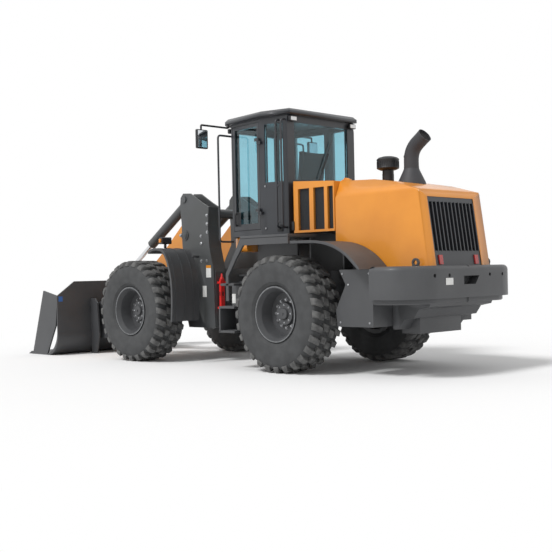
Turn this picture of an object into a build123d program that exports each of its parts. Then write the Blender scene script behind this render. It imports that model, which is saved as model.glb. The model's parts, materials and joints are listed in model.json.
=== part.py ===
from build123d import *
import math
import os

# Articulated wheel loader with parallel arms, in millimetres.
# +X is forward, +Y is left and +Z is up. The pieces are modelled from the
# articulation pivot and moved at the end, so that X = 0 is the middle of the length.

# Overall layout
WHEELBASE = 3030
TRACK_WIDTH = 1950
REAR_REACH = 3620
PLATE = 25
RUNNING_GAP = 0.05
SEAT_GAP = 0.3
LINK_GAP = 20

# Wheels
TYRE_RADIUS = 740
TYRE_WIDTH = 525
RIM_SEAT_RADIUS = 320
RIM_SEAT_WIDTH = 412
RIM_FLANGE_RADIUS = 352
RIM_DISH_DEPTH = 215
HUB_RADIUS = 140
SPINDLE_RADIUS = 60
TRUNNION_RADIUS = 95

# Articulation joint and steering cylinders
HITCH_PIN_RADIUS = 45
HITCH_LOW_Z = 590
HITCH_HIGH_Z = 1180
RAIL_Y = 420
STEER_BASE = (-700, 230)
STEER_EYE = (190, 260)
STEER_Z = 900

# Loader linkage, as points of the side view
ARM_PIVOT = (930, 1835)
TILT_BASE = (935, 2360)
LEVER_PIVOT = (2349, 899)
HINGE = (2950, 420)
COUPLER_LEVER = (-50, 350)
LIFT_BASE = (620, 680)
LIFT_EYE = (1700, 1290)
CROSS_TUBE = (1890, 1130)
ARM_Y = 475
ARM_THICKNESS = 70
CHEEK_GAP = 15
LIFT_Y = 285
BIG_PIN_RADIUS = 45
SMALL_PIN_RADIUS = 32
BARREL_RADIUS = 72
ROD_RADIUS = 35
STEER_BARREL_RADIUS = 50
STEER_ROD_RADIUS = 25
EYE_WIDTH = 70
EYE_RADIUS = 58

# Bucket
BUCKET_HALF_WIDTH = 1275
BUCKET_TIP_X = 4250
BUCKET_BACK_X = 3310
BUCKET_TOP_Z = 957
BUCKET_SHELL = 20
GUARD_TOP_Z = 1185

# Cab
CAB_FLOOR_Z = 1800
CAB_TOP_Z = 3320
CAB_FRONT_X = 20
CAB_REAR_X = -1270
CAB_WALL = 60
CAB_ROOF_THICKNESS = 85
GLASS = 8
PILLAR_X = -800
CAB_HALF_WIDTH = 710
DOOR_GAP = 6
DOOR_HINGE_ZS = (2080, 3020)

# Hood and cooler box
HOOD_FRONT_X = -2055
HOOD_REAR_X = -3460
HOOD_HALF_WIDTH = 640
HOOD_BOTTOM_Z = 1285
HOOD_TOP_Z = 2396
HOOD_WALL = 30
GRILLE_HALF_WIDTH = 470
GRILLE_TOP_Z = 2120
GRILLE_RIBS = 13
COOLER_FRONT_X = -1340
COOLER_BOTTOM_Z = 1770
COOLER_TOP_Z = 2442
COOLER_WALL = 40
HOOD_GAP = 10
SIDE_BOX_TOP = 1280
HOOD_HINGE_YS = (-420, 380)
HINGE_PIN_RADIUS = 12

# Values worked out from the ones above
FRONT_AXLE_X = WHEELBASE / 2
REAR_AXLE_X = -WHEELBASE / 2
WHEEL_Y = TRACK_WIDTH / 2
PIVOT_X = -(BUCKET_TIP_X - REAR_REACH) / 2
LEVER_ARM = (TILT_BASE[0] - ARM_PIVOT[0], TILT_BASE[1] - ARM_PIVOT[1])
LEVER_TOP = (LEVER_PIVOT[0] + LEVER_ARM[0], LEVER_PIVOT[1] + LEVER_ARM[1])
LINK_REAR = (LEVER_PIVOT[0] + COUPLER_LEVER[0], LEVER_PIVOT[1] + COUPLER_LEVER[1])
LINK_FRONT = (HINGE[0] + COUPLER_LEVER[0], HINGE[1] + COUPLER_LEVER[1])
ARM_IN = ARM_Y - ARM_THICKNESS / 2
ARM_OUT = ARM_Y + ARM_THICKNESS / 2
CHEEK_IN = ARM_IN - CHEEK_GAP - PLATE
CHEEK_OUT = ARM_OUT + CHEEK_GAP + PLATE
TOWER_IN = ARM_Y - BARREL_RADIUS - 8 - PLATE
TOWER_OUT = 600
HOOD_HINGE = (HOOD_FRONT_X + HOOD_GAP / 2, HOOD_TOP_Z + 25)
DOOR_HINGE = (PILLAR_X + 8, CAB_HALF_WIDTH + 26)


def block(x0, x1, y0, y1, z0, z1):
    """A box between two corners."""
    size = Box(abs(x1 - x0), abs(y1 - y0), abs(z1 - z0))
    return Pos((x0 + x1) / 2, (y0 + y1) / 2, (z0 + z1) / 2) * size


def side_plate(points, y0, y1):
    """A plate with its outline in the side view, from y0 to y1."""
    face = Plane.XZ * Polygon(*points, align=None)
    return Pos(0, (y0 + y1) / 2, 0) * extrude(face, amount=abs(y1 - y0) / 2, both=True)


def top_plate(points, z0, z1):
    """A plate with its outline in the top view, from z0 to z1."""
    face = Polygon(*points, align=None)
    return Pos(0, 0, (z0 + z1) / 2) * extrude(face, amount=abs(z1 - z0) / 2, both=True)


def y_pin(point, radius, y0, y1):
    """A round pin across the machine at a point of the side view."""
    pin = Cylinder(radius, abs(y1 - y0), rotation=(90, 0, 0))
    return Pos(point[0], (y0 + y1) / 2, point[1]) * pin


def z_pin(x, y, radius, z0, z1):
    """An upright round pin."""
    return Pos(x, y, (z0 + z1) / 2) * Cylinder(radius, z1 - z0)


def x_pin(y, z, radius, x0, x1):
    """A round bar along the machine."""
    return Pos((x0 + x1) / 2, y, z) * Cylinder(radius, abs(x1 - x0), rotation=(0, 90, 0))


def rod(start, end, radius):
    """A round bar between two points of space."""
    start, end = Vector(*start), Vector(*end)
    axis = Plane(origin=(start + end) / 2, z_dir=end - start)
    return axis * Cylinder(radius, (end - start).length)


def on_line(start, end, distance):
    """The point of the side view at a distance from start towards end."""
    length = math.dist(start, end)
    return tuple(s + (e - s) * distance / length for s, e in zip(start, end))


def in_side(point, y):
    """A point of the side view placed at y."""
    return (point[0], y, point[1])


def mirrored(shape):
    """The same shape on the right-hand side."""
    return mirror(shape, about=Plane.XZ)


def both_sides(shape):
    """A left-hand shape and its mirror image."""
    return [shape, mirrored(shape)]


def solids_of(shapes):
    """All the solids of a list of shapes."""
    return [solid for shape in shapes for solid in shape.solids()]


def ring_about_y(profile):
    """A ring turned about the Y axis, from (radius, y) points."""
    return revolve(Polygon(*profile, align=None), axis=Axis.Y)


# Wheels
def tyre():
    """A left-hand tyre, out to the tips of its lugs, around the origin."""
    half = TYRE_WIDTH / 2
    bead = RIM_SEAT_WIDTH / 2 - SEAT_GAP
    bore = RIM_SEAT_RADIUS + SEAT_GAP
    profile = [
        (bore, -bead), (RIM_FLANGE_RADIUS + 6, -bead), (RIM_FLANGE_RADIUS + 12, -bead - 25), (TYRE_RADIUS * 0.72, -half),
        (TYRE_RADIUS - 45, -half + 12), (TYRE_RADIUS - 8, -half + 60), (TYRE_RADIUS, -half + 110),
        (TYRE_RADIUS, half - 110), (TYRE_RADIUS - 8, half - 60), (TYRE_RADIUS - 45, half - 12),
        (TYRE_RADIUS * 0.72, half), (RIM_FLANGE_RADIUS + 12, bead + 25), (RIM_FLANGE_RADIUS + 6, bead), (bore, bead),
    ]
    return ring_about_y(profile)


def rim():
    """A left-hand rim with its dish and hub, around the origin, its outside facing +Y."""
    seat = RIM_SEAT_WIDTH / 2
    lip = seat + 22
    dish = lip - RIM_DISH_DEPTH
    inner = RIM_SEAT_RADIUS - 22
    flange = RIM_FLANGE_RADIUS
    profile = [
        (0, dish + 45), (HUB_RADIUS, dish + 45), (HUB_RADIUS + 10, dish), (inner - 30, dish), (inner, lip - 60),
        (flange - 22, lip), (flange, lip), (flange, seat), (RIM_SEAT_RADIUS, seat), (RIM_SEAT_RADIUS, -seat),
        (flange, -seat), (flange, -lip), (inner, -lip), (inner, dish - 50), (HUB_RADIUS, dish - 50),
        (HUB_RADIUS, dish - 90), (0, dish - 90),
    ]
    bore = Pos(0, dish - 45, 0) * Cylinder(SPINDLE_RADIUS + RUNNING_GAP, 90, rotation=(90, 0, 0))
    return ring_about_y(profile) - bore


def at_wheel(shape, axle_x, side):
    """A wheel piece moved to its axle, turned round for the right-hand side."""
    moved = Pos(axle_x, WHEEL_Y, TYRE_RADIUS) * shape
    return moved if side > 0 else mirrored(moved)


# Axles
def axle(axle_x, nose, tail, pad_top):
    """An axle: differential with its nose and tail, tapered arms, pads, brake flanges and spindles."""
    dish_y = WHEEL_Y + RIM_SEAT_WIDTH / 2 + 22 - RIM_DISH_DEPTH
    hub_back = dish_y - 90
    arm_profile = [
        (0, 0), (215, 0), (205, 90), (150, 200), (112, 420), (105, hub_back - 90), (190, hub_back - 80),
        (190, hub_back - 8), (SPINDLE_RADIUS + 25, hub_back - 8), (SPINDLE_RADIUS + 25, hub_back - 2),
        (SPINDLE_RADIUS, hub_back - 2), (SPINDLE_RADIUS, hub_back + 80), (0, hub_back + 80),
    ]
    arm = ring_about_y(arm_profile)
    body = arm + mirrored(arm) + x_pin(0, 0, TRUNNION_RADIUS, 0, nose) + x_pin(0, 0, TRUNNION_RADIUS, 0, tail)
    if pad_top:
        pad = block(-115, 115, TOWER_IN - 70, TOWER_IN + PLATE, 0, pad_top - TYRE_RADIUS)
        body += pad + mirrored(pad)
    return Pos(axle_x, 0, TYRE_RADIUS) * body


# Front frame
def front_frame():
    """The front frame: hitch lugs, low box, and two towers that carry the arms."""
    rear_edge = [(314, 1327), (335, 1393), (395, 1637), (419, 1945), (395, 2217)]
    top = [(560, 2300), (800, 2440), (960, 2450), (1020, 2390), (1035, 2250), (1010, 2030), (1000, 1700)]
    outer = [(300, 500), (350, 476), (568, 572), (760, 1000), (960, 1330)]
    outer_plate = side_plate(outer + top[::-1] + rear_edge[::-1], TOWER_OUT - PLATE, TOWER_OUT)
    inner = [(300, 470), (1130, 470), (1260, 930), (1740, 930), (1790, 980), (1790, 1040), (1240, 1330)]
    inner_plate = side_plate(inner + top[::-1] + rear_edge[::-1], TOWER_IN, TOWER_IN + PLATE)
    cover_line = [(300, 500), (300, 1290)] + rear_edge
    cover_points = cover_line + [(x + 20, z) for x, z in cover_line[::-1]]
    cover = side_plate(cover_points, TOWER_IN + PLATE, TOWER_OUT - PLATE)
    foot = block(300, 560, TOWER_IN + PLATE, TOWER_OUT - PLATE, 650, 675)
    pivot_pin = y_pin(ARM_PIVOT, BIG_PIN_RADIUS, TOWER_IN, TOWER_OUT + 18)
    pivot_head = y_pin(ARM_PIVOT, 75, TOWER_OUT, TOWER_OUT + 14)
    tilt_pin = y_pin(TILT_BASE, SMALL_PIN_RADIUS, TOWER_IN, TOWER_OUT + 10)
    lug_y = LIFT_Y - BARREL_RADIUS - 12
    lift_lug = side_plate([(540, 470), (760, 470), (690, 740), (560, 740)], lug_y - PLATE, lug_y)
    lift_pin = y_pin(LIFT_BASE, SMALL_PIN_RADIUS, lug_y - PLATE, TOWER_IN)
    left = [outer_plate, inner_plate, cover, foot, pivot_pin, pivot_head, tilt_pin, lift_lug, lift_pin]
    floor = block(300, 1130, -TOWER_IN, TOWER_IN, 470, 495)
    rear_wall = block(300, 325, -TOWER_IN, TOWER_IN, 470, 1327) - x_pin(0, TYRE_RADIUS, 90, 200, 400)
    nose_wall = block(1715, 1740, -TOWER_IN, TOWER_IN, 925, 1040)
    saddle = block(1260, 1740, -TOWER_IN, TOWER_IN, 900, 936) - y_pin((FRONT_AXLE_X, TYRE_RADIUS), 222, -400, 400)
    top_tube = y_pin((600, 2140), 70, -TOWER_IN, TOWER_IN)
    frame = floor + rear_wall + nose_wall + saddle + top_tube
    for piece in left:
        frame += piece
        frame += mirrored(piece)
    for z in (HITCH_LOW_Z, HITCH_HIGH_Z):
        for dz in (-62, 37):
            lug = block(0, 305, -130, 130, z + dz, z + dz + 25) + z_pin(0, 0, 130, z + dz, z + dz + 25)
            frame += lug
        frame += z_pin(0, 0, HITCH_PIN_RADIUS, z - 62, z + 62)
    for side in (1, -1):
        x, y = STEER_EYE[0], side * STEER_EYE[1]
        lug = block(x, 305, y - 55, y + 55, STEER_Z - 80, STEER_Z - 55) + z_pin(x, y, 55, STEER_Z - 80, STEER_Z - 55)
        frame += lug + Pos(0, 0, 135) * lug
    return frame


def front_fenders():
    """Wide curved fenders over the front tyres, each on the tower's outer plate."""
    outer = [(1060, 1570), (1050, 1605), (890, 1640), (710, 1620), (600, 1445), (530, 1180), (520, 900), (540, 600)]
    inner = [(565, 600), (545, 900), (556, 1175), (622, 1430), (722, 1595), (888, 1613), (1040, 1580)]
    shell = side_plate(outer + inner, TOWER_OUT + 100, 1200)
    bracket = block(620, 700, TOWER_OUT, TOWER_OUT + 120, 1500, 1530)
    return both_sides(shell + bracket)


def head_lamps():
    """Lamp heads on short posts that stand on the front fenders."""
    post = block(870, 895, 1000, 1030, 1640 + SEAT_GAP, 1700)
    head = block(840, 920, 930, 1100, 1700, 1800)
    return both_sides(fillet(head.edges().filter_by(Axis.Y), 20) + post)


def lock_bar():
    """The bar that locks the frame joint, stowed behind the left tower."""
    bar = block(235, 275, 465, 535, 700, 1180) + z_pin(255, 500, 18, 1175, 1230)
    for z in (760, 1120):
        bar += block(225, 300 - SEAT_GAP, 450, 550, z, z + 30)
    return [bar]


# Arms
def boom():
    """Two arms joined by a cross tube, with forks inside for the lift rods."""
    outline = [
        (840, 1690), (985, 1670), (1350, 1350), (1800, 1030), (2300, 720), (2860, 345), (2945, 325),
        (3020, 360), (3045, 430), (3010, 495), (2740, 700), (2440, 1000), (2060, 1235), (1500, 1660), (1090, 2010),
        (900, 2010), (780, 1930), (760, 1800),
    ]
    arm = side_plate(outline, ARM_IN, ARM_OUT)
    arm += y_pin(LIFT_EYE, 78, LIFT_Y + EYE_WIDTH / 2 + 12, ARM_IN)
    cheek = [(-70, -70), (110, -70), (110, 70), (-70, 70)]
    cheek = [(LIFT_EYE[0] + x, LIFT_EYE[1] + z) for x, z in cheek]
    arm += side_plate(cheek, LIFT_Y - EYE_WIDTH / 2 - 37, LIFT_Y - EYE_WIDTH / 2 - 12)
    arm += block(LIFT_EYE[0] + 85, LIFT_EYE[0] + 110, LIFT_Y - EYE_WIDTH / 2 - 37, ARM_IN,
                 LIFT_EYE[1] - 70, LIFT_EYE[1] + 70)
    arm -= y_pin(ARM_PIVOT, BIG_PIN_RADIUS + RUNNING_GAP, ARM_IN, ARM_OUT)
    arm -= y_pin(LEVER_PIVOT, BIG_PIN_RADIUS + RUNNING_GAP, ARM_IN, ARM_OUT)
    arm -= y_pin(HINGE, BIG_PIN_RADIUS + RUNNING_GAP, ARM_IN, ARM_OUT)
    tube = y_pin(CROSS_TUBE, 75, -ARM_IN, ARM_IN)
    return [arm + tube + mirrored(arm)]


def pins(point, radius):
    """A pair of pins through the arms and the cheeks beside them."""
    return both_sides(y_pin(point, radius, CHEEK_IN - 3, CHEEK_OUT + 3))


def levers():
    """The bellcranks: on each arm a three-cornered outer cheek and an inner one."""
    outer = [(-75, -75), (60, -85), (85, 0), (75, 540), (0, 590), (-75, 540), (-120, 370), (-85, 250)]
    inner = [(-75, -75), (60, -75), (85, 0), (70, 540), (0, 590), (-70, 540)]
    def placed(points):
        return [(LEVER_PIVOT[0] + x, LEVER_PIVOT[1] + z) for x, z in points]
    bore = y_pin(LEVER_PIVOT, BIG_PIN_RADIUS + RUNNING_GAP, CHEEK_IN, CHEEK_OUT)
    link_bore = y_pin(LINK_REAR, SMALL_PIN_RADIUS + RUNNING_GAP, CHEEK_IN, CHEEK_OUT)
    outer_cheek = side_plate(placed(outer), CHEEK_OUT - PLATE, CHEEK_OUT) - bore - link_bore
    outer_cheek += y_pin(LEVER_TOP, 50, CHEEK_OUT, CHEEK_OUT + 14)
    inner_cheek = side_plate(placed(inner), CHEEK_IN, CHEEK_IN + PLATE) - bore
    return both_sides(outer_cheek) + both_sides(inner_cheek)


def links():
    """Flat links outside the arms, from the bellcranks to the coupler."""
    y0 = CHEEK_OUT + LINK_GAP
    bar = side_plate([(LINK_REAR[0] - 30, LINK_REAR[1] + 40), (LINK_REAR[0] - 50, LINK_REAR[1] - 20),
                      (LINK_FRONT[0] - 10, LINK_FRONT[1] - 52), (LINK_FRONT[0] + 50, LINK_FRONT[1] - 20),
                      (LINK_FRONT[0] + 30, LINK_FRONT[1] + 45), (LINK_REAR[0] + 20, LINK_REAR[1] + 55)],
                     y0, y0 + PLATE)
    bar -= y_pin(LINK_REAR, SMALL_PIN_RADIUS + RUNNING_GAP, y0, y0 + PLATE)
    bar -= y_pin(LINK_FRONT, SMALL_PIN_RADIUS + RUNNING_GAP, y0, y0 + PLATE)
    return both_sides(bar)


def link_pins():
    """Pins that join the links to the bellcranks."""
    return both_sides(y_pin(LINK_REAR, SMALL_PIN_RADIUS, CHEEK_OUT - PLATE, CHEEK_OUT + LINK_GAP + PLATE + 4))


# Hydraulic cylinders
def barrel(base, eye, y, length, radius):
    """A cylinder barrel with its base eye, bored for its rod."""
    base3, end3 = in_side(base, y), in_side(on_line(base, eye, length), y)
    body = rod(in_side(on_line(base, eye, 50), y), end3, radius)
    body += y_pin(base, EYE_RADIUS, y - EYE_WIDTH / 2, y + EYE_WIDTH / 2)
    body -= rod(in_side(on_line(base, eye, 75), y), end3, ROD_RADIUS + RUNNING_GAP)
    return body - y_pin(base, SMALL_PIN_RADIUS + RUNNING_GAP, y - EYE_WIDTH / 2, y + EYE_WIDTH / 2)


def piston_rod(base, eye, y, inner_end):
    """A piston rod that reaches deep into its barrel, with the eye at its end."""
    start = in_side(on_line(base, eye, inner_end), y)
    body = rod(start, in_side(on_line(base, eye, math.dist(base, eye) - 40), y), ROD_RADIUS)
    body += y_pin(eye, EYE_RADIUS, y - EYE_WIDTH / 2, y + EYE_WIDTH / 2)
    return body - y_pin(eye, SMALL_PIN_RADIUS, y - EYE_WIDTH / 2, y + EYE_WIDTH / 2)


def steering_barrel(side):
    """The left (+1) or right (-1) steering cylinder's barrel."""
    base, eye = (STEER_BASE[0], side * STEER_BASE[1]), (STEER_EYE[0], side * STEER_EYE[1])
    near, far = on_line(base, eye, 40), on_line(base, eye, 560)
    body = rod((*near, STEER_Z), (*far, STEER_Z), STEER_BARREL_RADIUS) + z_pin(*base, 50, STEER_Z - 30, STEER_Z + 30)
    body -= rod((*on_line(base, eye, 60), STEER_Z), (*far, STEER_Z), STEER_ROD_RADIUS + RUNNING_GAP)
    return [body - z_pin(*base, STEER_ROD_RADIUS + RUNNING_GAP, STEER_Z - 30, STEER_Z + 30)]


def steering_rod(side):
    """The left (+1) or right (-1) steering cylinder's rod."""
    base, eye = (STEER_BASE[0], side * STEER_BASE[1]), (STEER_EYE[0], side * STEER_EYE[1])
    reach = math.dist(base, eye)
    body = rod((*on_line(base, eye, 290), STEER_Z), (*on_line(base, eye, reach - 35), STEER_Z), STEER_ROD_RADIUS)
    body += z_pin(*eye, 45, STEER_Z - 30, STEER_Z + 30)
    return [body - z_pin(*eye, STEER_ROD_RADIUS, STEER_Z - 30, STEER_Z + 30)]


# Bucket
def bucket():
    """The bucket: a curved shell, two side plates, a cutting edge and a spill guard."""
    half = BUCKET_HALF_WIDTH
    back, tip, top = BUCKET_BACK_X, BUCKET_TIP_X, BUCKET_TOP_Z
    heel = 360
    with BuildSketch(Plane.XZ) as profile:
        with BuildLine():
            floor = Line((tip - 150, 0), (back + heel, 0))
            curve = TangentArc([floor @ 1, (back + 40, heel + 20)], tangent=(-1, 0))
            rise = Line(curve @ 1, (back + 40, top))
            lip = Line(rise @ 1, (back + 40 + BUCKET_SHELL, top))
            inner_rise = Line(lip @ 1, (back + 40 + BUCKET_SHELL, heel + 25))
            inner_curve = TangentArc([inner_rise @ 1, (back + heel, BUCKET_SHELL)], tangent=(0, -1))
            inner_floor = Line(inner_curve @ 1, (tip - 150, BUCKET_SHELL))
            Line(inner_floor @ 1, floor @ 0)
        make_face()
    shell = extrude(profile.sketch, amount=half, both=True)
    side_points = [(tip - 130, 0), (3760, 1040), (back + 40, top), (back + 100, 480), (back + heel + 20, 0)]
    side = side_plate(side_points, half - 25, half)
    edge = side_plate([(tip, 0), (tip - 260, 0), (tip - 260, BUCKET_SHELL), (tip - 90, 45)], -half, half)
    guard_points = [(-half, top), (half, top), (half - 330, GUARD_TOP_Z), (330 - half, GUARD_TOP_Z)]
    guard = Pos(back + 60, 0, 0) * extrude(Plane.YZ * Polygon(*guard_points, align=None), amount=-20)
    ear_points = [(back + 60, 300), (back + 60, 900), (3230, 900), (3160, 820), (3120, 330), (3190, 60), (3180, 0),
                  (back + 40, 0), (back + 20, 60)]
    ear_y = CHEEK_OUT + PLATE + 45
    ear = side_plate(ear_points, ear_y, ear_y + PLATE)
    body = shell + side + mirrored(side) + edge + guard + ear + mirrored(ear)
    return [body]


def coupler():
    """The coupler: cheeks on both sides of each arm, a top tube, and hooks on the bucket."""
    front = BUCKET_BACK_X + 40 - SEAT_GAP
    def outline(rear, reach):
        return [(2860, 380), (2890, 330), (3060, 250), (front - 30, 250), (front, 400),
                (front, 800), (3180, 850), (reach, 840), (reach - 10, 730), rear]
    cheek = side_plate(outline((2855, 470), 2850), CHEEK_OUT - PLATE, CHEEK_OUT)
    inner = side_plate(outline((2855, 470), 2850), CHEEK_IN, CHEEK_IN + PLATE)
    pair = cheek + inner
    pair -= y_pin(HINGE, BIG_PIN_RADIUS + RUNNING_GAP, CHEEK_IN, CHEEK_OUT)
    pair += y_pin(LINK_FRONT, SMALL_PIN_RADIUS, CHEEK_OUT - PLATE, CHEEK_OUT + LINK_GAP + PLATE + 4)
    tube = y_pin((3190, 690), 75, -CHEEK_OUT, CHEEK_OUT)
    low_bar = block(3200, 3260, -CHEEK_OUT, CHEEK_OUT, 260, 340)
    return [pair + mirrored(pair) + tube + low_bar]


# Rear frame
def rear_frame():
    """The rear frame: two rails, the hitch nose, cross plates and cab pedestals."""
    outline = [
        (-330, 560), (-1180, 560), (-1260, 960), (-1770, 960), (-1850, 620), (-2900, 620), (-3150, 900),
        (-3150, 1270), (-1850, 1270), (-1300, 1270), (-330, 1270),
    ]
    rail = side_plate(outline, RAIL_Y - PLATE, RAIL_Y)
    pedestal = block(-420, -1180, RAIL_Y - PLATE, RAIL_Y, 1265, 1700)
    frame = rail + mirrored(rail) + pedestal + mirrored(pedestal)
    front_wall = block(-355, -330, -RAIL_Y, RAIL_Y, 560, 1270) - x_pin(0, TYRE_RADIUS, 90, -400, -300)
    for side in (1, -1):
        front_wall -= block(-400, -300, side * 110, side * (RAIL_Y - PLATE), STEER_Z - 80, STEER_Z + 80)
    frame += front_wall
    frame += block(-1180, -1155, -RAIL_Y, RAIL_Y, 560, 1270) - x_pin(0, TYRE_RADIUS, 90, -1200, -1100)
    frame += block(-1900, -1860, -RAIL_Y, RAIL_Y, 620, 1270)
    for x in (REAR_AXLE_X - 270, REAR_AXLE_X + 245):
        hanger = block(x, x + PLATE, -RAIL_Y + 5, RAIL_Y - 5, 635, 1270)
        frame += hanger - x_pin(0, TYRE_RADIUS, TRUNNION_RADIUS + SEAT_GAP, x - 10, x + PLATE + 10)
    frame += block(-3000, -2900, -RAIL_Y, RAIL_Y, 900, 1270)
    frame += block(-340, -1260, -650, 650, 1700, CAB_FLOOR_Z - 40 - SEAT_GAP)
    for x in (COOLER_FRONT_X - 60, HOOD_FRONT_X + 80):
        frame += block(x, x - PLATE, -RAIL_Y, RAIL_Y, 1200, COOLER_BOTTOM_Z - SEAT_GAP)
    for z in (HITCH_LOW_Z, HITCH_HIGH_Z):
        nose = block(-340, 0, -120, 120, z - 31, z + 31) + z_pin(0, 0, 120, z - 31, z + 31)
        frame += nose - z_pin(0, 0, HITCH_PIN_RADIUS + RUNNING_GAP, z - 40, z + 40)
    for side in (1, -1):
        x, y = STEER_BASE[0], side * STEER_BASE[1]
        shelf = block(x - 60, x + 60, y - 60 * side, side * (RAIL_Y - 5), STEER_Z - 80, STEER_Z - 55)
        frame += shelf + Pos(0, 0, 135) * shelf + z_pin(x, y, STEER_ROD_RADIUS, STEER_Z - 60, STEER_Z + 60)
    return [frame]


def drive_shaft(x0, x1, z):
    """A propeller shaft with yokes at both ends."""
    return x_pin(0, z, 40, x0, x1) + x_pin(0, z, 75, x0, x0 + 60) + x_pin(0, z, 75, x1 - 60, x1)


def counterweight():
    """The cast counterweight: a wrap-around bumper on a belly that slopes forward."""
    outline = [(-3010, 900), (-3010, 1190), (-3330, 1200), (-3530, 1090), (-3600, 860), (-REAR_REACH, 0)]
    plan = outline + [(x, -y) for x, y in outline[-2::-1]]
    bumper = top_plate(plan, 905, 1305)
    bumper = fillet(bumper.edges().filter_by(Axis.Z).sort_by(Axis.X)[:5], 60)
    belly = side_plate([(-3560, 950), (-3470, 860), (-3000, 560), (-2940, 560), (-2940, 950)], -640, 640)
    weight = bumper + belly
    weight -= block(-2900, -3170, -RAIL_Y - SEAT_GAP, RAIL_Y + SEAT_GAP, 500, 1400)
    weight -= block(-2900, HOOD_REAR_X - 40, -HOOD_HALF_WIDTH - 10, HOOD_HALF_WIDTH + 10, HOOD_BOTTOM_Z - 6, 1400)
    eye = block(-3400, -3310, 715, 740, 1290, 1340) + y_pin((-3355, 1345), 50, 715, 740)
    eye -= y_pin((-3355, 1345), 26, 700, 760)
    weight += eye + mirrored(eye)
    weight -= z_pin(-3560, 0, 25, 850, 1400)
    weight -= block(-3700, -3490, -110, 110, 1080, 1180)
    return [weight]


def side_boxes():
    """Tool and battery boxes along both sides, below the hood."""
    outline = [(-2420, SIDE_BOX_TOP), (-2520, 1100), (-2360, 800), (-2380, 600), (-2935, 600), (-2935, SIDE_BOX_TOP)]
    return both_sides(side_plate(outline, RAIL_Y + SEAT_GAP, 1000))


def rear_fenders():
    """Flat-topped mudguards behind the rear tyres."""
    foot = SIDE_BOX_TOP + SEAT_GAP
    outer = [(-1800, 1640), (-2220, 1636), (-2460, 1592), (-2690, 1500), (-2805, 1365), (-2900, foot)]
    inner = [(-2870, foot), (-2780, 1350), (-2672, 1482), (-2452, 1570), (-2218, 1612), (-1800, 1616)]
    return both_sides(side_plate(outer + inner, HOOD_HALF_WIDTH + 15, 1200))


def ladders():
    """Steps and platforms on both sides, up to the cab doors."""
    steps = []
    for z, x0, x1 in ((480, -430, -795), (800, -430, -765), (1100, -430, -780)):
        steps.append(block(x0, x1, 900, 1180, z, z + 30))
    stringer_front = block(-430, -400, 900, 1180, 480, 1240)
    upright = side_plate([(-600, 830), (-640, 830), (-640, 1230), (-780, 1430), (-930, 1620), (-1750, 1620),
                          (-1750, 1710), (-880, 1710), (-740, 1480), (-600, 1260)], 1150, 1180)
    platform = block(-880, -1750, 650 + SEAT_GAP, 1180, 1700, 1740)
    back_plate = block(-400, -760, 870, 905, 480, 1130)
    carrier = block(-500, -620, RAIL_Y, 880, 600, 700)
    whole = stringer_front + upright + platform + back_plate + carrier
    for step in steps:
        whole += step
    return both_sides(whole)


# Cab
def cab_outline(inset):
    """The cab's plan, moved inwards by inset."""
    half = CAB_HALF_WIDTH
    points = [
        (CAB_FRONT_X, 430), (-140, half - 90), (PILLAR_X, half), (CAB_REAR_X, half - 50),
        (CAB_REAR_X, 50 - half), (PILLAR_X, -half), (-140, 90 - half), (CAB_FRONT_X, -430),
    ]
    face = Polygon(*points, align=None)
    return offset(face, amount=-inset, kind=Kind.INTERSECTION) if inset else face


def cab_ring(outside, inside, z0, z1):
    """The cab's wall between two insets."""
    solid = extrude(cab_outline(outside), amount=z1 - z0) - extrude(cab_outline(inside), amount=z1 - z0)
    return Pos(0, 0, z0) * solid


def cab_windows(grow):
    """The window openings as solids that cut through the walls, grown by a margin."""
    low, high = CAB_FLOOR_Z + 110 - grow, CAB_TOP_Z - 90 + grow
    front = block(-60, 200, -370 - grow, 370 + grow, low, high)
    corners = [block(-122 + -grow, -28 + grow, side * 400, side * 800, low, high) for side in (1, -1)]
    right = block(-730 - grow, -210 + grow, -400, -900, low, high)
    rear_sides = [block(-1190 - grow, -880 + grow, side * 500, side * 900, 2460 - grow, high) for side in (1, -1)]
    rear = block(-1400, -1180, -530 - grow, 530 + grow, 2480 - grow, high)
    return [front, *corners, right, *rear_sides, rear]


def door_space(grow):
    """The doorway as a solid, grown by a margin."""
    return block(-790 - grow, -170 + grow, 400, 900, CAB_FLOOR_Z + 40 - grow, CAB_TOP_Z - 40 + grow)


def door_window(grow):
    """The opening of the door's own window."""
    return block(-730 - grow, -225 + grow, 300, 1000, CAB_FLOOR_Z + 130 - grow, CAB_TOP_Z - 95 + grow)


def cab_frame():
    """The cab's hollow frame with its window openings and the doorway."""
    frame = cab_ring(0, CAB_WALL, CAB_FLOOR_Z, CAB_TOP_Z)
    for opening in cab_windows(0):
        frame -= opening
    frame -= door_space(0)
    x, y = DOOR_HINGE
    for z in DOOR_HINGE_ZS:
        frame += z_pin(x, y, 20, z - 43, z - 3) + block(x - 50, x - 8, y - 40, y + 12, z - 43, z - 3)
        frame += z_pin(x, y, 8, z - 10, z + 38)
    return [frame + Pos(0, 0, CAB_FLOOR_Z - 40) * extrude(cab_outline(0), amount=40)]


def cab_glass():
    """The fixed panes, each in its opening."""
    ring = cab_ring(20, 20 + GLASS, CAB_FLOOR_Z, CAB_TOP_Z)
    return [ring & opening for opening in cab_windows(-SEAT_GAP)]


def door_frame():
    """The left door's frame."""
    ring = cab_ring(0, CAB_WALL, CAB_FLOOR_Z, CAB_TOP_Z)
    door = (ring & door_space(-DOOR_GAP)) - door_window(0)
    x, y = DOOR_HINGE
    for z in DOOR_HINGE_ZS:
        leaf = z_pin(x, y, 20, z, z + 40) + block(x + 8, x + 60, y - 40, y + 12, z, z + 40)
        door += leaf - z_pin(x, y, 8 + RUNNING_GAP, z - 10, z + 60)
    return [door]


def door_glass():
    """The left door's pane."""
    return [cab_ring(20, 20 + GLASS, CAB_FLOOR_Z, CAB_TOP_Z) & door_window(-SEAT_GAP)]


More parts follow.
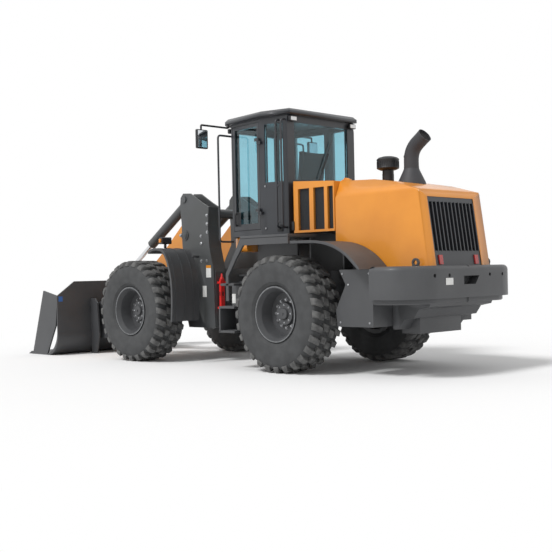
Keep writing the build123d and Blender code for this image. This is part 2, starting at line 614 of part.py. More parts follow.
def cab_roof():
    """The roof, wider than the cab, with a chamfered rim."""
    points = [(90, 470), (-60, 660), (-860, 775), (-1333, 665), (-1333, -665), (-860, -775), (-60, -660), (90, -470)]
    slab = top_plate(points, CAB_TOP_Z, CAB_TOP_Z + CAB_ROOF_THICKNESS)
    return [chamfer(slab.faces().sort_by(Axis.Z)[-1].edges(), 40)]


def seat():
    """The operator's seat on its suspension base."""
    base = block(-560, -960, -200, 200, CAB_FLOOR_Z, 2100)
    cushion = block(-500, -1000, -250, 250, 2100, 2220)
    back = side_plate([(-960, 2220), (-1080, 2220), (-1150, 2900), (-1040, 2900)], -240, 240)
    return [base + cushion + back]


def steering_column():
    """The column and its steering wheel."""
    column = rod((-190, 0, CAB_FLOOR_Z + 60), (-330, 0, 2500), 45)
    column += block(-260, -120, -80, 80, CAB_FLOOR_Z, CAB_FLOOR_Z + 90)
    wheel = Plane(origin=(-330, 0, 2500), z_dir=(-0.215, 0, 0.977)) * Cylinder(195, 35)
    return [column + wheel]


def mirrors():
    """Mirrors on bent arms from the roof's front corners."""
    top = CAB_TOP_Z - 30
    arm = z_pin(-60, 600, 18, top - 10, CAB_TOP_Z - SEAT_GAP)
    arm += rod((-60, 600, top), (-60, 1110, top), 14) + rod((-60, 1100, top), (-60, 1100, top - 320), 14)
    head = block(-45, -95, 1000, 1200, top - 330, top - 60)
    return both_sides(arm + head)


# Hood and what it covers
def hood_body(inset):
    """The hood's outer form moved inwards by inset, as a solid."""
    side = [
        (HOOD_FRONT_X, HOOD_TOP_Z), (-2620, HOOD_TOP_Z - 25), (-2970, 2309), (-3330, 2205),
        (HOOD_REAR_X, HOOD_BOTTOM_Z), (-2520, HOOD_BOTTOM_Z), (-2410, 1380), (-2300, 1510), (-2055, 1600),
    ]
    lifted = [(x, z - inset) for x, z in side]
    slab = side_plate(lifted, -HOOD_HALF_WIDTH + inset, HOOD_HALF_WIDTH - inset)
    w = HOOD_HALF_WIDTH - inset
    section = Plane.YZ * Polygon((-w, 1000), (w, 1000), (w - 10, 2180), (w - 110, 2396), (110 - w, 2396), (10 - w, 2180),
                                 align=None)
    return slab & Pos(HOOD_REAR_X - 100, 0, -inset) * extrude(section, amount=2000)


def hinge_plate(side):
    """One leaf of the hood's hinge: forward of the pin (+1) or behind it (-1)."""
    x, z = HOOD_HINGE
    return [(x - side * 17, z + 6), (x, z + 22), (x + side * 90, z - 4), (x + side * 90, z - 34),
            (x + side * 8, z - 30), (x - side * 17, z - 14)]


def hood():
    """The engine hood: a shell open below, in front and at the grille, with its hinge leaves."""
    outer = hood_body(0)
    space = hood_body(HOOD_WALL)
    below = Pos(0, 0, -200) * space
    forward = Pos(200, 0, 0) * space
    y = GRILLE_HALF_WIDTH
    grille_hole = block(HOOD_REAR_X - 100, HOOD_REAR_X + 260, -y, y, HOOD_BOTTOM_Z - 100, GRILLE_TOP_Z)
    shell = outer - space - below - Pos(0, 0, -60) * space - grille_hole
    for y in HOOD_HINGE_YS:
        leaf = side_plate(hinge_plate(-1), y + 24, y + 60)
        shell += leaf - y_pin(HOOD_HINGE, HINGE_PIN_RADIUS + RUNNING_GAP, y, y + 80)
    return [shell]


def grille_x(z):
    """The hood's rear face at a height."""
    return HOOD_REAR_X + (z - HOOD_BOTTOM_Z) * 130 / 920


def rear_grille():
    """The rear grille: a solid lower panel, a top bar and upright ribs between them."""
    y = GRILLE_HALF_WIDTH - SEAT_GAP
    def bar(z0, z1, y0, y1, proud):
        back = [(grille_x(z) + proud, z) for z in (z0, z1)]
        front = [(grille_x(z) + 45, z) for z in (z1, z0)]
        return side_plate(back + front, y0, y1)
    ribs = bar(HOOD_BOTTOM_Z + 5, 1480, -y, y, 8) + bar(2060, GRILLE_TOP_Z - SEAT_GAP, -y, y, 8)
    for index in range(GRILLE_RIBS):
        y0 = -y + index * (2 * y - 20) / (GRILLE_RIBS - 1)
        ribs += bar(1475, 2065, y0, y0 + 20, 2)
    return [ribs]


def tail_lamps():
    """Tail lamps on the lower grille panel."""
    points = [(grille_x(1320) - 8, 1320), (grille_x(1430) - 8, 1430), (grille_x(1430) + 7, 1430), (grille_x(1320) + 7, 1320)]
    return both_sides(side_plate(points, 330, 400))


def exhaust_stack():
    """The curved exhaust stack on its cone."""
    cone = Pos(-2770, 0, 2280) * Cone(190, 95, 250, align=(Align.CENTER, Align.CENTER, Align.MIN))
    pipe = z_pin(-2770, 0, 95, 2500, 2720)
    bend = rod((-2770, 0, 2690), (-2990, 0, 2900), 95)
    return [cone - Pos(0, 0, SEAT_GAP) * hood_body(0) + pipe + bend]


def precleaner():
    """The air precleaner bowl on its pipe."""
    pipe = z_pin(-2400, 0, 75, 2300, 2540) - Pos(0, 0, SEAT_GAP) * hood_body(0)
    return [pipe + z_pin(-2400, 0, 145, 2530, 2710)]


def cooler_form(inset):
    """The cooler box's outer form moved inwards by inset, open below when inset."""
    front, rear = COOLER_FRONT_X - inset, HOOD_FRONT_X + HOOD_GAP + inset
    low = COOLER_BOTTOM_Z - 2 * inset
    points = [(front, low), (front, COOLER_TOP_Z - inset), (rear, HOOD_TOP_Z - inset), (rear, low)]
    return side_plate(points, inset - HOOD_HALF_WIDTH, HOOD_HALF_WIDTH - inset)


def cooler_box():
    """The cooler housing between cab and hood, with three windows a side and the hood's hinge."""
    box = cooler_form(0) - cooler_form(COOLER_WALL)
    for x0, x1 in ((-1420, -1620), (-1690, -1875), (-1930, -2025)):
        box -= block(x0, x1, -700, 700, COOLER_BOTTOM_Z + 30, 2335)
    for y in HOOD_HINGE_YS:
        box += side_plate(hinge_plate(1), y - 20, y + 20) + y_pin(HOOD_HINGE, HINGE_PIN_RADIUS, y - 20, y + 58)
    return [box]


def radiator():
    """The cooling cores inside the cooler box, seen through its windows."""
    low = COOLER_BOTTOM_Z - 60
    return [cooler_form(COOLER_WALL + SEAT_GAP) - block(-3000, 0, -1000, 1000, low - 500, COOLER_BOTTOM_Z)]


def engine():
    """The engine and pump group as one plain block."""
    y = RAIL_Y - PLATE - SEAT_GAP
    return [block(-2120, -2890, -y, y, 1000, 2150)]


PIECES = {
    "rear_frame": rear_frame, "counterweight": counterweight, "side_boxes": side_boxes,
    "rear_fenders": rear_fenders, "ladders": ladders, "cab_frame": cab_frame, "cab_glass": cab_glass,
    "cab_roof": cab_roof, "seat": seat, "steering_column": steering_column, "mirrors": mirrors,
    "cooler_box": cooler_box, "radiator": radiator, "engine": engine, "hood": hood,
    "rear_grille": rear_grille, "tail_lamps": tail_lamps, "exhaust_stack": exhaust_stack,
    "precleaner": precleaner, "door_frame": door_frame, "door_glass": door_glass,
    "front_fenders": front_fenders, "head_lamps": head_lamps, "lock_bar": lock_bar, "boom": boom,
    "bellcranks": levers, "tilt_links": links, "link_pins": link_pins, "bucket": bucket, "coupler": coupler,
}


def build():
    """Every node of the loader as a list of shapes, by its name."""
    nodes = {name: make() for name, make in PIECES.items()}
    nodes["front_frame"] = [front_frame()]
    nodes["rear_axle"] = [axle(REAR_AXLE_X, 330, -280, 0)]
    nodes["front_axle"] = [axle(FRONT_AXLE_X, -330, 230, 930 - SEAT_GAP)]
    nodes["rear_drive_shaft"] = [drive_shaft(REAR_AXLE_X + 330 + SEAT_GAP, -120, TYRE_RADIUS)]
    nodes["front_drive_shaft"] = [drive_shaft(120, FRONT_AXLE_X - 330 - SEAT_GAP, TYRE_RADIUS)]
    nodes["bucket_pins"] = pins(HINGE, BIG_PIN_RADIUS)
    nodes["bellcrank_pins"] = pins(LEVER_PIVOT, BIG_PIN_RADIUS)
    nodes["lift_barrels"] = both_sides(barrel(LIFT_BASE, LIFT_EYE, LIFT_Y, 1080, BARREL_RADIUS))
    nodes["lift_rods"] = both_sides(piston_rod(LIFT_BASE, LIFT_EYE, LIFT_Y, 85))
    nodes["tilt_barrels"] = both_sides(barrel(TILT_BASE, LEVER_TOP, ARM_Y, 1140, BARREL_RADIUS))
    nodes["tilt_rods"] = both_sides(piston_rod(TILT_BASE, LEVER_TOP, ARM_Y, 420))
    for name, side in (("left", 1), ("right", -1)):
        nodes["steering_barrel_" + name] = steering_barrel(side)
        nodes["steering_rod_" + name] = steering_rod(side)
        for end, axle_x in (("front", FRONT_AXLE_X), ("rear", REAR_AXLE_X)):
            nodes[f"tyre_{end}_{name}"] = [at_wheel(tyre(), axle_x, side)]
            nodes[f"rim_{end}_{name}"] = [at_wheel(rim(), axle_x, side)]
    return nodes


def main():
    """Write each node to its own STEP file."""
    os.makedirs("parts", exist_ok=True)
    for name, shapes in build().items():
        placed = [Pos(PIVOT_X, 0, 0) * solid for solid in solids_of(shapes)]
        export_step(Compound(children=placed), f"parts/{name}.step")


main()
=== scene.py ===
# %% [markdown]
# A wheel loader is a tractor with a bucket on two arms, hinged in its middle.
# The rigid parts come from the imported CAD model, which sets every size and place.
# This script adds what gives the machine its looks: paint, rubber, glass, tread and small parts.

# %% Load the model
import bpy, bmesh, json, math
from mathutils import Matrix, Vector


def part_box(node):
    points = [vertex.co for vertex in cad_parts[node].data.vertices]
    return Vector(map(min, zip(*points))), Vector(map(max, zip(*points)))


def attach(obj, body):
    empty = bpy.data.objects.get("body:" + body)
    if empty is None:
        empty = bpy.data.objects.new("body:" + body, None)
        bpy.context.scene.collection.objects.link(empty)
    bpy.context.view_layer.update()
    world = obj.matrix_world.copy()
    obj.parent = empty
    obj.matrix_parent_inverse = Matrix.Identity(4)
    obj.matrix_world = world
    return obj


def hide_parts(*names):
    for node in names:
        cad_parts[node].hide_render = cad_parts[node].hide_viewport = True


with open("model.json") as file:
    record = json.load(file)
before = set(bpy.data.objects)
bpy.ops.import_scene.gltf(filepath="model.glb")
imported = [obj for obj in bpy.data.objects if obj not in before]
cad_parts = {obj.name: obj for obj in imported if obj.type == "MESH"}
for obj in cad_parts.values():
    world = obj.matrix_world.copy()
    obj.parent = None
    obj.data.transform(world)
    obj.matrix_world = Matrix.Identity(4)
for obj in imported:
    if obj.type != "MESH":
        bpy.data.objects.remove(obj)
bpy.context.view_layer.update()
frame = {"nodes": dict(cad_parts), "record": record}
nodes = frame["nodes"]
scene = bpy.context.scene

# %% [markdown]
# The photo was taken from behind the machine's left rear wheel, at about hub height.
# A camera was fitted to known points of the machine, which gives its place and its three angles.
# Its focal length is in pixels of the square image, so it is turned into millimetres of a 36 mm sensor.

# %% Camera
IMAGE_PIXELS = 552
FOCAL_PIXELS = 970.4
CAMERA_PLACE = Vector((-10.443, 9.712, 1.274))
YAW, PITCH, ROLL = (math.radians(angle) for angle in (-44.78, -0.26, 1.19))

ahead = Vector((math.cos(YAW) * math.cos(PITCH), math.sin(YAW) * math.cos(PITCH), math.sin(PITCH)))
level = ahead.cross(Vector((0, 0, 1))).normalized()
below = ahead.cross(level)
right = math.cos(ROLL) * level + math.sin(ROLL) * below
down = math.cos(ROLL) * below - math.sin(ROLL) * level
camera = bpy.data.objects.new("camera", bpy.data.cameras.new("camera"))
scene.collection.objects.link(camera)
camera.matrix_world = Matrix.Translation(CAMERA_PLACE) @ Matrix((right, -down, -ahead)).transposed().to_4x4()
camera.data.sensor_width = 36
camera.data.lens = FOCAL_PIXELS / IMAGE_PIXELS * camera.data.sensor_width
camera.data.clip_end = 200
scene.camera = camera
scene.view_settings.view_transform = "Standard"
print("lens", round(camera.data.lens, 1), "mm")

# %% [markdown]
# Colours are picked as sRGB hex values, but a shader works in linear light.
# One function turns the first into the second, so that a colour renders as it was picked.
# One more adds a node with its settings and its inputs, which keeps each material short.

# %% Colour and node helpers
def linear(hex_colour):
    """An sRGB hex colour as linear red, green, blue and alpha."""
    parts = [int(hex_colour[i:i + 2], 16) / 255 for i in (1, 3, 5)]
    return (*[p / 12.92 if p <= 0.04045 else ((p + 0.055) / 1.055) ** 2.4 for p in parts], 1)


def add(tree, kind, inputs=(), **settings):
    """A new node with its settings; each input takes a value or the output of another node."""
    node = tree.nodes.new(kind)
    for name, value in settings.items():
        setattr(node, name, value)
    for name, value in dict(inputs).items():
        if isinstance(value, bpy.types.NodeSocket):
            tree.links.new(value, node.inputs[name])
        else:
            node.inputs[name].default_value = value
    return node


def cleared(owner):
    """The emptied node tree of a material or a world."""
    owner.use_nodes = True
    owner.node_tree.nodes.clear()
    return owner.node_tree


print("helpers: linear, add and cleared")

# %% [markdown]
# Nearly every finish is one Principled shader with a fine bump, because no real surface is quite smooth, and
# with two close colours in soft patches, because none is quite even. Small functions make these parts.

# %% Surfaces
def surface(name, shader, bump=None, colour=None):
    """A material with one Principled shader; bump and colour are made by functions of its tree."""
    material = bpy.data.materials.new(name)
    tree = cleared(material)
    place = add(tree, "ShaderNodeTexCoord").outputs["Object"]
    inputs = dict(shader)
    if colour:
        inputs["Base Color"] = colour(tree, place)
    if bump:
        inputs["Normal"] = bump(tree, place)
    body = add(tree, "ShaderNodeBsdfPrincipled", inputs)
    add(tree, "ShaderNodeOutputMaterial", {"Surface": body.outputs[0]})
    return material


def grain(size, depth, detail=2.0):
    """Bump from noise with grains of a size in metres; depth is in metres too."""
    def make(tree, place):
        noise = add(tree, "ShaderNodeTexNoise", {"Vector": place, "Scale": 1 / size, "Detail": detail})
        bump = {"Height": noise.outputs[0], "Distance": depth, "Strength": 0.5}
        return add(tree, "ShaderNodeBump", bump).outputs[0]
    return make


def mottled(first, second, size, low=0.35, high=0.65):
    """Two colours mixed in soft patches of a size in metres."""
    def make(tree, place):
        noise = add(tree, "ShaderNodeTexNoise", {"Vector": place, "Scale": 1 / size, "Detail": 4})
        reach = {"Value": noise.outputs[0], "From Min": low, "From Max": high}
        share = add(tree, "ShaderNodeMapRange", reach)
        mix = add(tree, "ShaderNodeMix", data_type="RGBA")
        tree.links.new(share.outputs[0], mix.inputs["Factor"])
        mix.inputs[6].default_value = linear(first)
        mix.inputs[7].default_value = linear(second)
        return mix.outputs[2]
    return make


def patchy(name, rough, bump, colours, more=()):
    """A finish in two close colours: bump is (grain, depth), colours are (first, second, patch size)."""
    return surface(name, {"Roughness": rough, **dict(more)}, grain(*bump), mottled(*colours))


def even(name, colour, rough, bump, more=()):
    """A finish in one colour: bump is (grain, depth)."""
    return surface(name, {"Base Color": linear(colour), "Roughness": rough, **dict(more)}, grain(*bump))


print("a surface can be patchy or even")

# %% [markdown]
# The panels are sheet steel with an oven-baked two-coat enamel. It is smooth and glossy, with a faint
# orange peel a few millimetres across, and road dust dulls it in soft patches.
# The frames, fenders and bucket wear a tougher satin powder coat, which scatters light more.

# %% Paints
PEEL_DEPTH, DUST_PATCH = 0.00025, 0.45


def enamel(name, main, worn, rough, coat, peel=0.004):
    """A baked paint: two close colours in patches, with a fine orange peel."""
    return patchy(name, rough, (peel, PEEL_DEPTH), (main, worn, DUST_PATCH),
                  {"Coat Weight": coat, "Coat Roughness": 0.12})


orange_paint = enamel("baked_enamel_orange", "#E3922C", "#DB8A27", 0.33, 0.35)
grey_paint = enamel("powder_coat_grey", "#4A4B4D", "#444547", 0.5, 0.05, 0.003)
tower_paint = enamel("powder_coat_tower_grey", "#4C4E50", "#464848", 0.45, 0.1)
cab_paint = enamel("baked_enamel_charcoal", "#2E3136", "#292B2F", 0.38, 0.2)
panel_paint = enamel("baked_enamel_slate", "#565A63", "#50545C", 0.42, 0.15)
red_paint = enamel("baked_enamel_red", "#E0302E", "#D62C2A", 0.38, 0.3)
lamp_shell = enamel("moulded_nylon_black", "#232427", "#1E1F22", 0.55, 0.0, 0.0015)
exhaust_paint = enamel("heat_proof_paint", "#3A3B3F", "#333438", 0.6, 0.0, 0.002)
print("paints made")

# %% [markdown]
# Tyre rubber is carbon black in natural rubber. It is matt, picks up grey dust, and its mould leaves a
# fine grain. The tread is lighter than the side wall because it carries more dust. The other finishes
# are made in the same way: what turns or rubs is bare metal, what is moulded has a fine grain.

# %% Rubber, glass, metals and plastics
side_rubber = patchy("rubber_side_wall", 0.78, (0.006, 0.0005), ("#454647", "#3B3C3D", 0.12))
tread_rubber = patchy("rubber_tread", 0.85, (0.008, 0.0012), ("#6A6A69", "#4E4E4E", 0.08))
tint = {"Base Color": linear("#B8DDE6"), "Roughness": 0.0, "IOR": 1.45, "Transmission Weight": 1.0}
tinted_glass = surface("toughened_glass_tinted", tint)
rod_chrome = even("hard_chrome", "#D8D9DB", 0.12, (0.002, 0.00002), {"Metallic": 1.0})
bare_steel = patchy("turned_steel", 0.35, (0.0015, 0.00005), ("#B9BABC", "#9C9DA0", 0.02), {"Metallic": 1.0})
cast_paint = patchy("painted_castings", 0.6, (0.006, 0.0006), ("#343537", "#2B2C2E", 0.15))
cloth = patchy("woven_seat_cloth", 0.9, (0.002, 0.0006), ("#1B1D20", "#141518", 0.01), {"Sheen Weight": 0.3})
plastic = patchy("moulded_abs_black", 0.5, (0.0012, 0.00015), ("#222326", "#1D1E20", 0.05))
red_lens = even("red_acrylic_lens", "#B3231F", 0.15, (0.004, 0.0004), {"Coat Weight": 0.6})
mirror_silver = even("mirror_silvering", "#D4D8DC", 0.03, (0.05, 0.00002), {"Metallic": 1.0})
lamp_glass = even("clear_lamp_glass", "#E4E8EA", 0.1, (0.006, 0.0008), {"Coat Weight": 0.7})
amber_lens = even("amber_acrylic_lens", "#E08A1E", 0.15, (0.004, 0.0004), {"Coat Weight": 0.6})
# Near black: soot, and painted shade for the dark inside of the exhaust pipe.
soot_and_painted_shade = patchy("exhaust_soot", 0.95, (0.003, 0.0006), ("#141415", "#0E0E0F", 0.03))
white_film = patchy("vinyl_film_white", 0.4, (0.004, 0.00003), ("#E4E4E2", "#D9D9D6", 0.05))
blue_film = patchy("vinyl_film_blue", 0.4, (0.004, 0.00003), ("#3E6FB4", "#3867A8", 0.05))
bright_edge = patchy("rubbed_steel_edge", 0.4, (0.003, 0.0001), ("#8E9092", "#6E7072", 0.03),
                     {"Metallic": 0.7})
core_metal = even("cooler_core_fins", "#4A4C50", 0.5, (0.006, 0.002), {"Metallic": 0.4})
print("rubber, glass, metals and plastics made")

# %% [markdown]
# Each CAD node keeps its mesh and gets the finish of the real part.

# %% Finishes of the CAD nodes
WHEEL_NAMES = [f"{end}_{side}" for end in ("front", "rear") for side in ("left", "right")]
FINISHES = {
    orange_paint: ["hood", "cooler_box", "boom", "tilt_links"],
    tower_paint: ["front_frame", "bellcranks", "lift_barrels", "tilt_barrels", "steering_barrel_left",
                  "steering_barrel_right"],
    grey_paint: ["rear_frame", "counterweight", "side_boxes", "rear_fenders", "ladders", "front_fenders",
                 "bucket", "coupler", *(f"rim_{wheel}" for wheel in WHEEL_NAMES)],
    cab_paint: ["cab_frame", "cab_roof", "door_frame", "rear_grille", "head_lamps"],
    plastic: ["steering_column", "precleaner", "mirrors"],
    tinted_glass: ["cab_glass", "door_glass"],
    cast_paint: ["engine", "front_axle", "rear_axle", "front_drive_shaft", "rear_drive_shaft"],
    rod_chrome: ["lift_rods", "tilt_rods", "steering_rod_left", "steering_rod_right"],
    bare_steel: ["bucket_pins", "bellcrank_pins", "link_pins"],
    cloth: ["seat"], red_paint: ["lock_bar"], red_lens: ["tail_lamps"], exhaust_paint: ["exhaust_stack"],
    core_metal: ["radiator"],
    side_rubber: [f"tyre_{wheel}" for wheel in WHEEL_NAMES],
}
for finish, names in FINISHES.items():
    for name in names:
        if name in nodes:
            for material_slot in nodes[name].material_slots:
                material_slot.material = finish
finished = {name for names in FINISHES.values() for name in names}
print("nodes with no finish yet:", sorted(set(nodes) - finished))

# %% [markdown]
# Small parts are built as meshes in the CAD model's frame, with their places given from the articulation
# joint. One helper turns a finished bmesh into a piece that rides on its body.

# %% Places and pieces
joints = {joint["name"]: joint for joint in frame["record"]["behaviour"]["joints"]}
HINGE_X = joints["frame_articulation"]["pos_m"][0]
SIDES = (1, -1)
UP = Vector((0, 0, 1))


def spot(x, y, z):
    """A point in metres ahead of the articulation joint, to the left of it, and up."""
    return Vector((x + HINGE_X, y, z))


def mesh_object(name, form):
    """An object in the scene that takes a finished bmesh as its mesh."""
    mesh = bpy.data.meshes.new(name)
    form.to_mesh(mesh)
    form.free()
    made = bpy.data.objects.new(name, mesh)
    scene.collection.objects.link(made)
    return made


def shade(piece, sharp=35):
    """Smooth shading, with edges that turn by more than an angle in degrees kept sharp."""
    piece.data.shade_smooth()
    piece.data.set_sharp_from_angle(angle=math.radians(sharp))


def freeze(piece):
    """Puts the result of an object's modifiers in place of its mesh, and drops them."""
    bpy.context.view_layer.update()
    result = piece.evaluated_get(bpy.context.evaluated_depsgraph_get())
    piece.data = bpy.data.meshes.new_from_object(result)
    piece.modifiers.clear()


def as_piece(name, form, finish, body, hides=(), sharp=35):
    """A finished bmesh as a piece that rides on a body, in place of the CAD nodes that it hides."""
    bmesh.ops.recalc_face_normals(form, faces=form.faces)
    piece = mesh_object(name, form)
    piece.data.materials.append(finish)
    shade(piece, sharp)
    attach(piece, body)
    if hides:
        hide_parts(*hides)
    return piece


print("the articulation joint is at x", HINGE_X)

# %% [markdown]
# Most fittings are plates, blocks and turned parts. A turned part is rings of vertices with walls between
# them, and so are a bent sheet and a tube, so one function makes the walls of all of them.

# %% Solid forms
def full_turn(count):
    """Angles in equal steps round a circle."""
    return [math.tau * step / count for step in range(count)]


def bridge(form, rings, base=1):
    """Adds the walls between rings of vertices, and both end faces; a base of -1 turns the first one."""
    for first, second in zip(rings, rings[1:]):
        for index in range(len(first)):
            after = (index + 1) % len(first)
            form.faces.new((first[index], first[after], second[after], second[index]))
    form.faces.new(rings[0][::base])
    form.faces.new(rings[-1])


def open_ends(form, sides=4):
    """Takes away the end faces, which have more sides than the walls."""
    ends = [face for face in form.faces if len(face.verts) > sides]
    bmesh.ops.delete(form, geom=ends, context="FACES")


def block(form, low, high, edge=0.004):
    """Adds a block with rounded edges between two corners."""
    place = Matrix.Translation((low + high) / 2) @ Matrix.Diagonal((*(high - low), 1))
    made = bmesh.ops.create_cube(form, size=1, matrix=place)
    links = list({link for vert in made["verts"] for link in vert.link_edges})
    bmesh.ops.bevel(form, geom=links, offset=edge, segments=2, profile=0.6, affect="EDGES")


def side_block(form, side, x, y, z, edge):
    """Adds a block on the left (1) or on the right (-1), from its pairs of x, y and z."""
    near, far = sorted((side * y[0], side * y[1]))
    block(form, spot(x[0], near, z[0]), spot(x[1], far, z[1]), edge)


print("forms: block and side_block")

# %% [markdown]
# Round parts are turned from a profile, as on a lathe. Flat plates are raised from a polygon: a panel from
# corners anywhere in space, and a slab from its side view.

# %% Turned parts and plates
def turned(form, place, axis, profile, steps=24):
    """Adds a turned part about an axis through a place, from (distance along, radius) points."""
    turn = Matrix.Translation(place) @ Vector(axis).to_track_quat("Z", "Y").to_matrix().to_4x4()
    rings = [[form.verts.new(turn @ Vector((radius * math.cos(a), radius * math.sin(a), along)))
              for a in full_turn(steps)] for along, radius in profile]
    bridge(form, rings)


def panel(form, corners, depth, edge=0.001):
    """Adds a flat panel on a polygon of corners, raised by depth along its normal."""
    face = form.faces.new([form.verts.new(corner) for corner in corners])
    face.normal_update()
    lift = face.normal * depth
    top = bmesh.ops.extrude_face_region(form, geom=[face])["geom"]
    verts = [item for item in top if isinstance(item, bmesh.types.BMVert)]
    bmesh.ops.translate(form, vec=lift, verts=verts)
    links = {link for vert in verts for link in vert.link_edges}
    rim = [link for link in links if all(end in verts for end in link.verts)]
    bmesh.ops.bevel(form, geom=rim, offset=edge, segments=1, affect="EDGES")


def slab(form, outline, y0, y1):
    """Adds a plate with its outline in (x, z) points, from y0 to y1."""
    near, far = ([form.verts.new(spot(x, y, z)) for x, z in outline] for y in (y0, y1))
    form.faces.new(near)
    form.faces.new(far[::-1])
    for index in range(len(outline)):
        after = (index + 1) % len(outline)
        form.faces.new((near[index], far[index], far[after], near[after]))


print("forms: turned, panel and slab")

# %% [markdown]
# Rails, arms and pipes are round tubes bent at their corners. A corner is a short quadratic curve, and the
# tube is rings along the line. Each ring keeps the last one's sideways direction, so the tube never twists.

# %% Tubes
def turned_corner(before, corner, after, radius, steps):
    """Points of a quadratic curve that cuts a corner, from a radius before it to a radius after it."""
    start = corner + (before - corner).normalized() * radius
    end = corner + (after - corner).normalized() * radius
    shares = (step / steps for step in range(steps + 1))
    return [start.lerp(corner, t).lerp(corner.lerp(end, t), t) for t in shares]


def rounded(points, radius, steps=5):
    """A bent tube's centre line: straight runs between turned corners."""
    line = [Vector(points[0])]
    for before, corner, after in zip(points, points[1:], points[2:]):
        line += turned_corner(before, corner, after, radius, steps)
    return line + [Vector(points[-1])]


def tube(form, points, radius, sides=10):
    """Adds a round tube along a line of points."""
    rings = []
    side = (points[1] - points[0]).orthogonal().normalized()
    for index, point in enumerate(points):
        way = points[min(index + 1, len(points) - 1)] - points[max(index - 1, 0)]
        side = (side - side.project(way)).normalized()
        other = way.normalized().cross(side)
        ring = [point + radius * (side * math.cos(a) + other * math.sin(a)) for a in full_turn(sides)]
        rings.append([form.verts.new(place) for place in ring])
    bridge(form, rings)


print("tubes can be bent")

# %% [markdown]
# What repeats is made by Geometry Nodes. The first group turns a form round an axle in equal steps, for the
# lugs of the tyres. It is an exact pattern, so it needs no random number.

# %% Ring group
def new_group(name, sockets):
    """An empty geometry group with named inputs, and its input and output nodes."""
    group = bpy.data.node_groups.new(name, "GeometryNodeTree")
    group.interface.new_socket("Geometry", in_out="INPUT", socket_type="NodeSocketGeometry")
    for label, kind in sockets:
        group.interface.new_socket(label, in_out="INPUT", socket_type=kind)
    group.interface.new_socket("Geometry", in_out="OUTPUT", socket_type="NodeSocketGeometry")
    return group, add(group, "NodeGroupInput").outputs


def close_group(group, given, instances):
    """Real geometry and its material, which ends each group."""
    real = add(group, "GeometryNodeRealizeInstances", {"Geometry": instances})
    finish = {"Geometry": real.outputs[0], "Material": given["Finish"]}
    painted = add(group, "GeometryNodeSetMaterial", finish)
    add(group, "NodeGroupOutput", {"Geometry": painted.outputs[0]})
    return group


def ring_group():
    """Copies of the form, turned about the Y axis in equal steps."""
    group, given = new_group("ring_about_axle", [("Count", "NodeSocketInt"), ("Turn", "NodeSocketFloat"),
                                                 ("Finish", "NodeSocketMaterial")])
    points = add(group, "GeometryNodePoints", {"Count": given["Count"]})
    step = add(group, "ShaderNodeMath", {0: math.tau, 1: given["Count"]}, operation="DIVIDE")
    index = add(group, "GeometryNodeInputIndex")
    angle = add(group, "ShaderNodeMath", {0: index.outputs[0], 1: step.outputs[0], 2: given["Turn"]},
                operation="MULTIPLY_ADD")
    turn = add(group, "ShaderNodeCombineXYZ", {"Y": angle.outputs[0]})
    rotation = add(group, "FunctionNodeEulerToRotation", {0: turn.outputs[0]})
    spread = {"Points": points.outputs[0], "Rotation": rotation.outputs[0], "Instance": given["Geometry"]}
    spread = add(group, "GeometryNodeInstanceOnPoints", spread)
    return close_group(group, given, spread.outputs[0])


RING = ring_group()
print("group made:", RING.name)

# %% [markdown]
# The second group sets a fastener on each point of a mesh, along the direction kept in the point's attribute,
# and turns each by its own angle, as a mechanic leaves them. The seed picks those angles.

# %% Fastener group
def fastener_group():
    """One fastener on each point, facing along the point's own direction."""
    group, given = new_group("fastener_pattern", [("Fastener", "NodeSocketObject"), ("Seed", "NodeSocketInt"),
                                                  ("Finish", "NodeSocketMaterial")])
    facing = add(group, "GeometryNodeInputNamedAttribute", {"Name": "facing"}, data_type="FLOAT_VECTOR")
    rotation = add(group, "FunctionNodeAlignRotationToVector", {"Vector": facing.outputs[0]}, axis="Z")
    source = add(group, "GeometryNodeObjectInfo", {"Object": given["Fastener"]}).outputs["Geometry"]
    spread = {"Points": given["Geometry"], "Rotation": rotation.outputs[0], "Instance": source}
    spread = add(group, "GeometryNodeInstanceOnPoints", spread)
    chance = add(group, "FunctionNodeRandomValue", {"Seed": given["Seed"]}, data_type="FLOAT")
    spin = add(group, "ShaderNodeMath", {0: chance.outputs[1], 1: math.tau}, operation="MULTIPLY")
    spin = add(group, "ShaderNodeCombineXYZ", {"Z": spin.outputs[0]})
    spun = {"Instances": spread.outputs[0], "Rotation": spin.outputs[0]}
    return close_group(group, given, add(group, "GeometryNodeRotateInstances", spun).outputs[0])


FASTENERS = fastener_group()


def run_group(piece, group, values):
    """Runs a group on an object, keeps the result as its mesh and drops the modifier."""
    modifier = piece.modifiers.new("pattern", "NODES")
    modifier.node_group = group
    for item in group.interface.items_tree:
        if item.in_out == "INPUT" and item.name in values:
            modifier[item.identifier] = values[item.name]
    freeze(piece)
    shade(piece)


print("group made:", FASTENERS.name)

# %% [markdown]
# A bolt shows as a hexagon head on its washer. Two sizes serve all but the wheel nuts. Each pattern starts
# as a mesh of bare points, and every point keeps the way that its bolt faces.

# %% Bolts
def bolt_form(name, radius, height):
    """A hexagon head on its washer, as an object that the pattern copies."""
    form = bmesh.new()
    turned(form, Vector(), UP, [(0, radius * 1.35), (height * 0.2, radius * 1.35)], 20)
    turned(form, Vector(), UP, [(height * 0.2, radius), (height * 0.9, radius), (height, radius * 0.88)], 6)
    return mesh_object(name, form)


def fasteners(name, places, source, finish, body, seed=1):
    """Fasteners at (place, direction) pairs, as one piece on a body."""
    mesh = bpy.data.meshes.new(name)
    mesh.from_pydata([place for place, _ in places], [], [])
    facing = mesh.attributes.new("facing", "FLOAT_VECTOR", "POINT")
    for index, (_, direction) in enumerate(places):
        facing.data[index].vector = direction
    piece = bpy.data.objects.new(name, mesh)
    scene.collection.objects.link(piece)
    run_group(piece, FASTENERS, {"Fastener": source, "Seed": seed, "Finish": finish})
    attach(piece, body)
    return piece


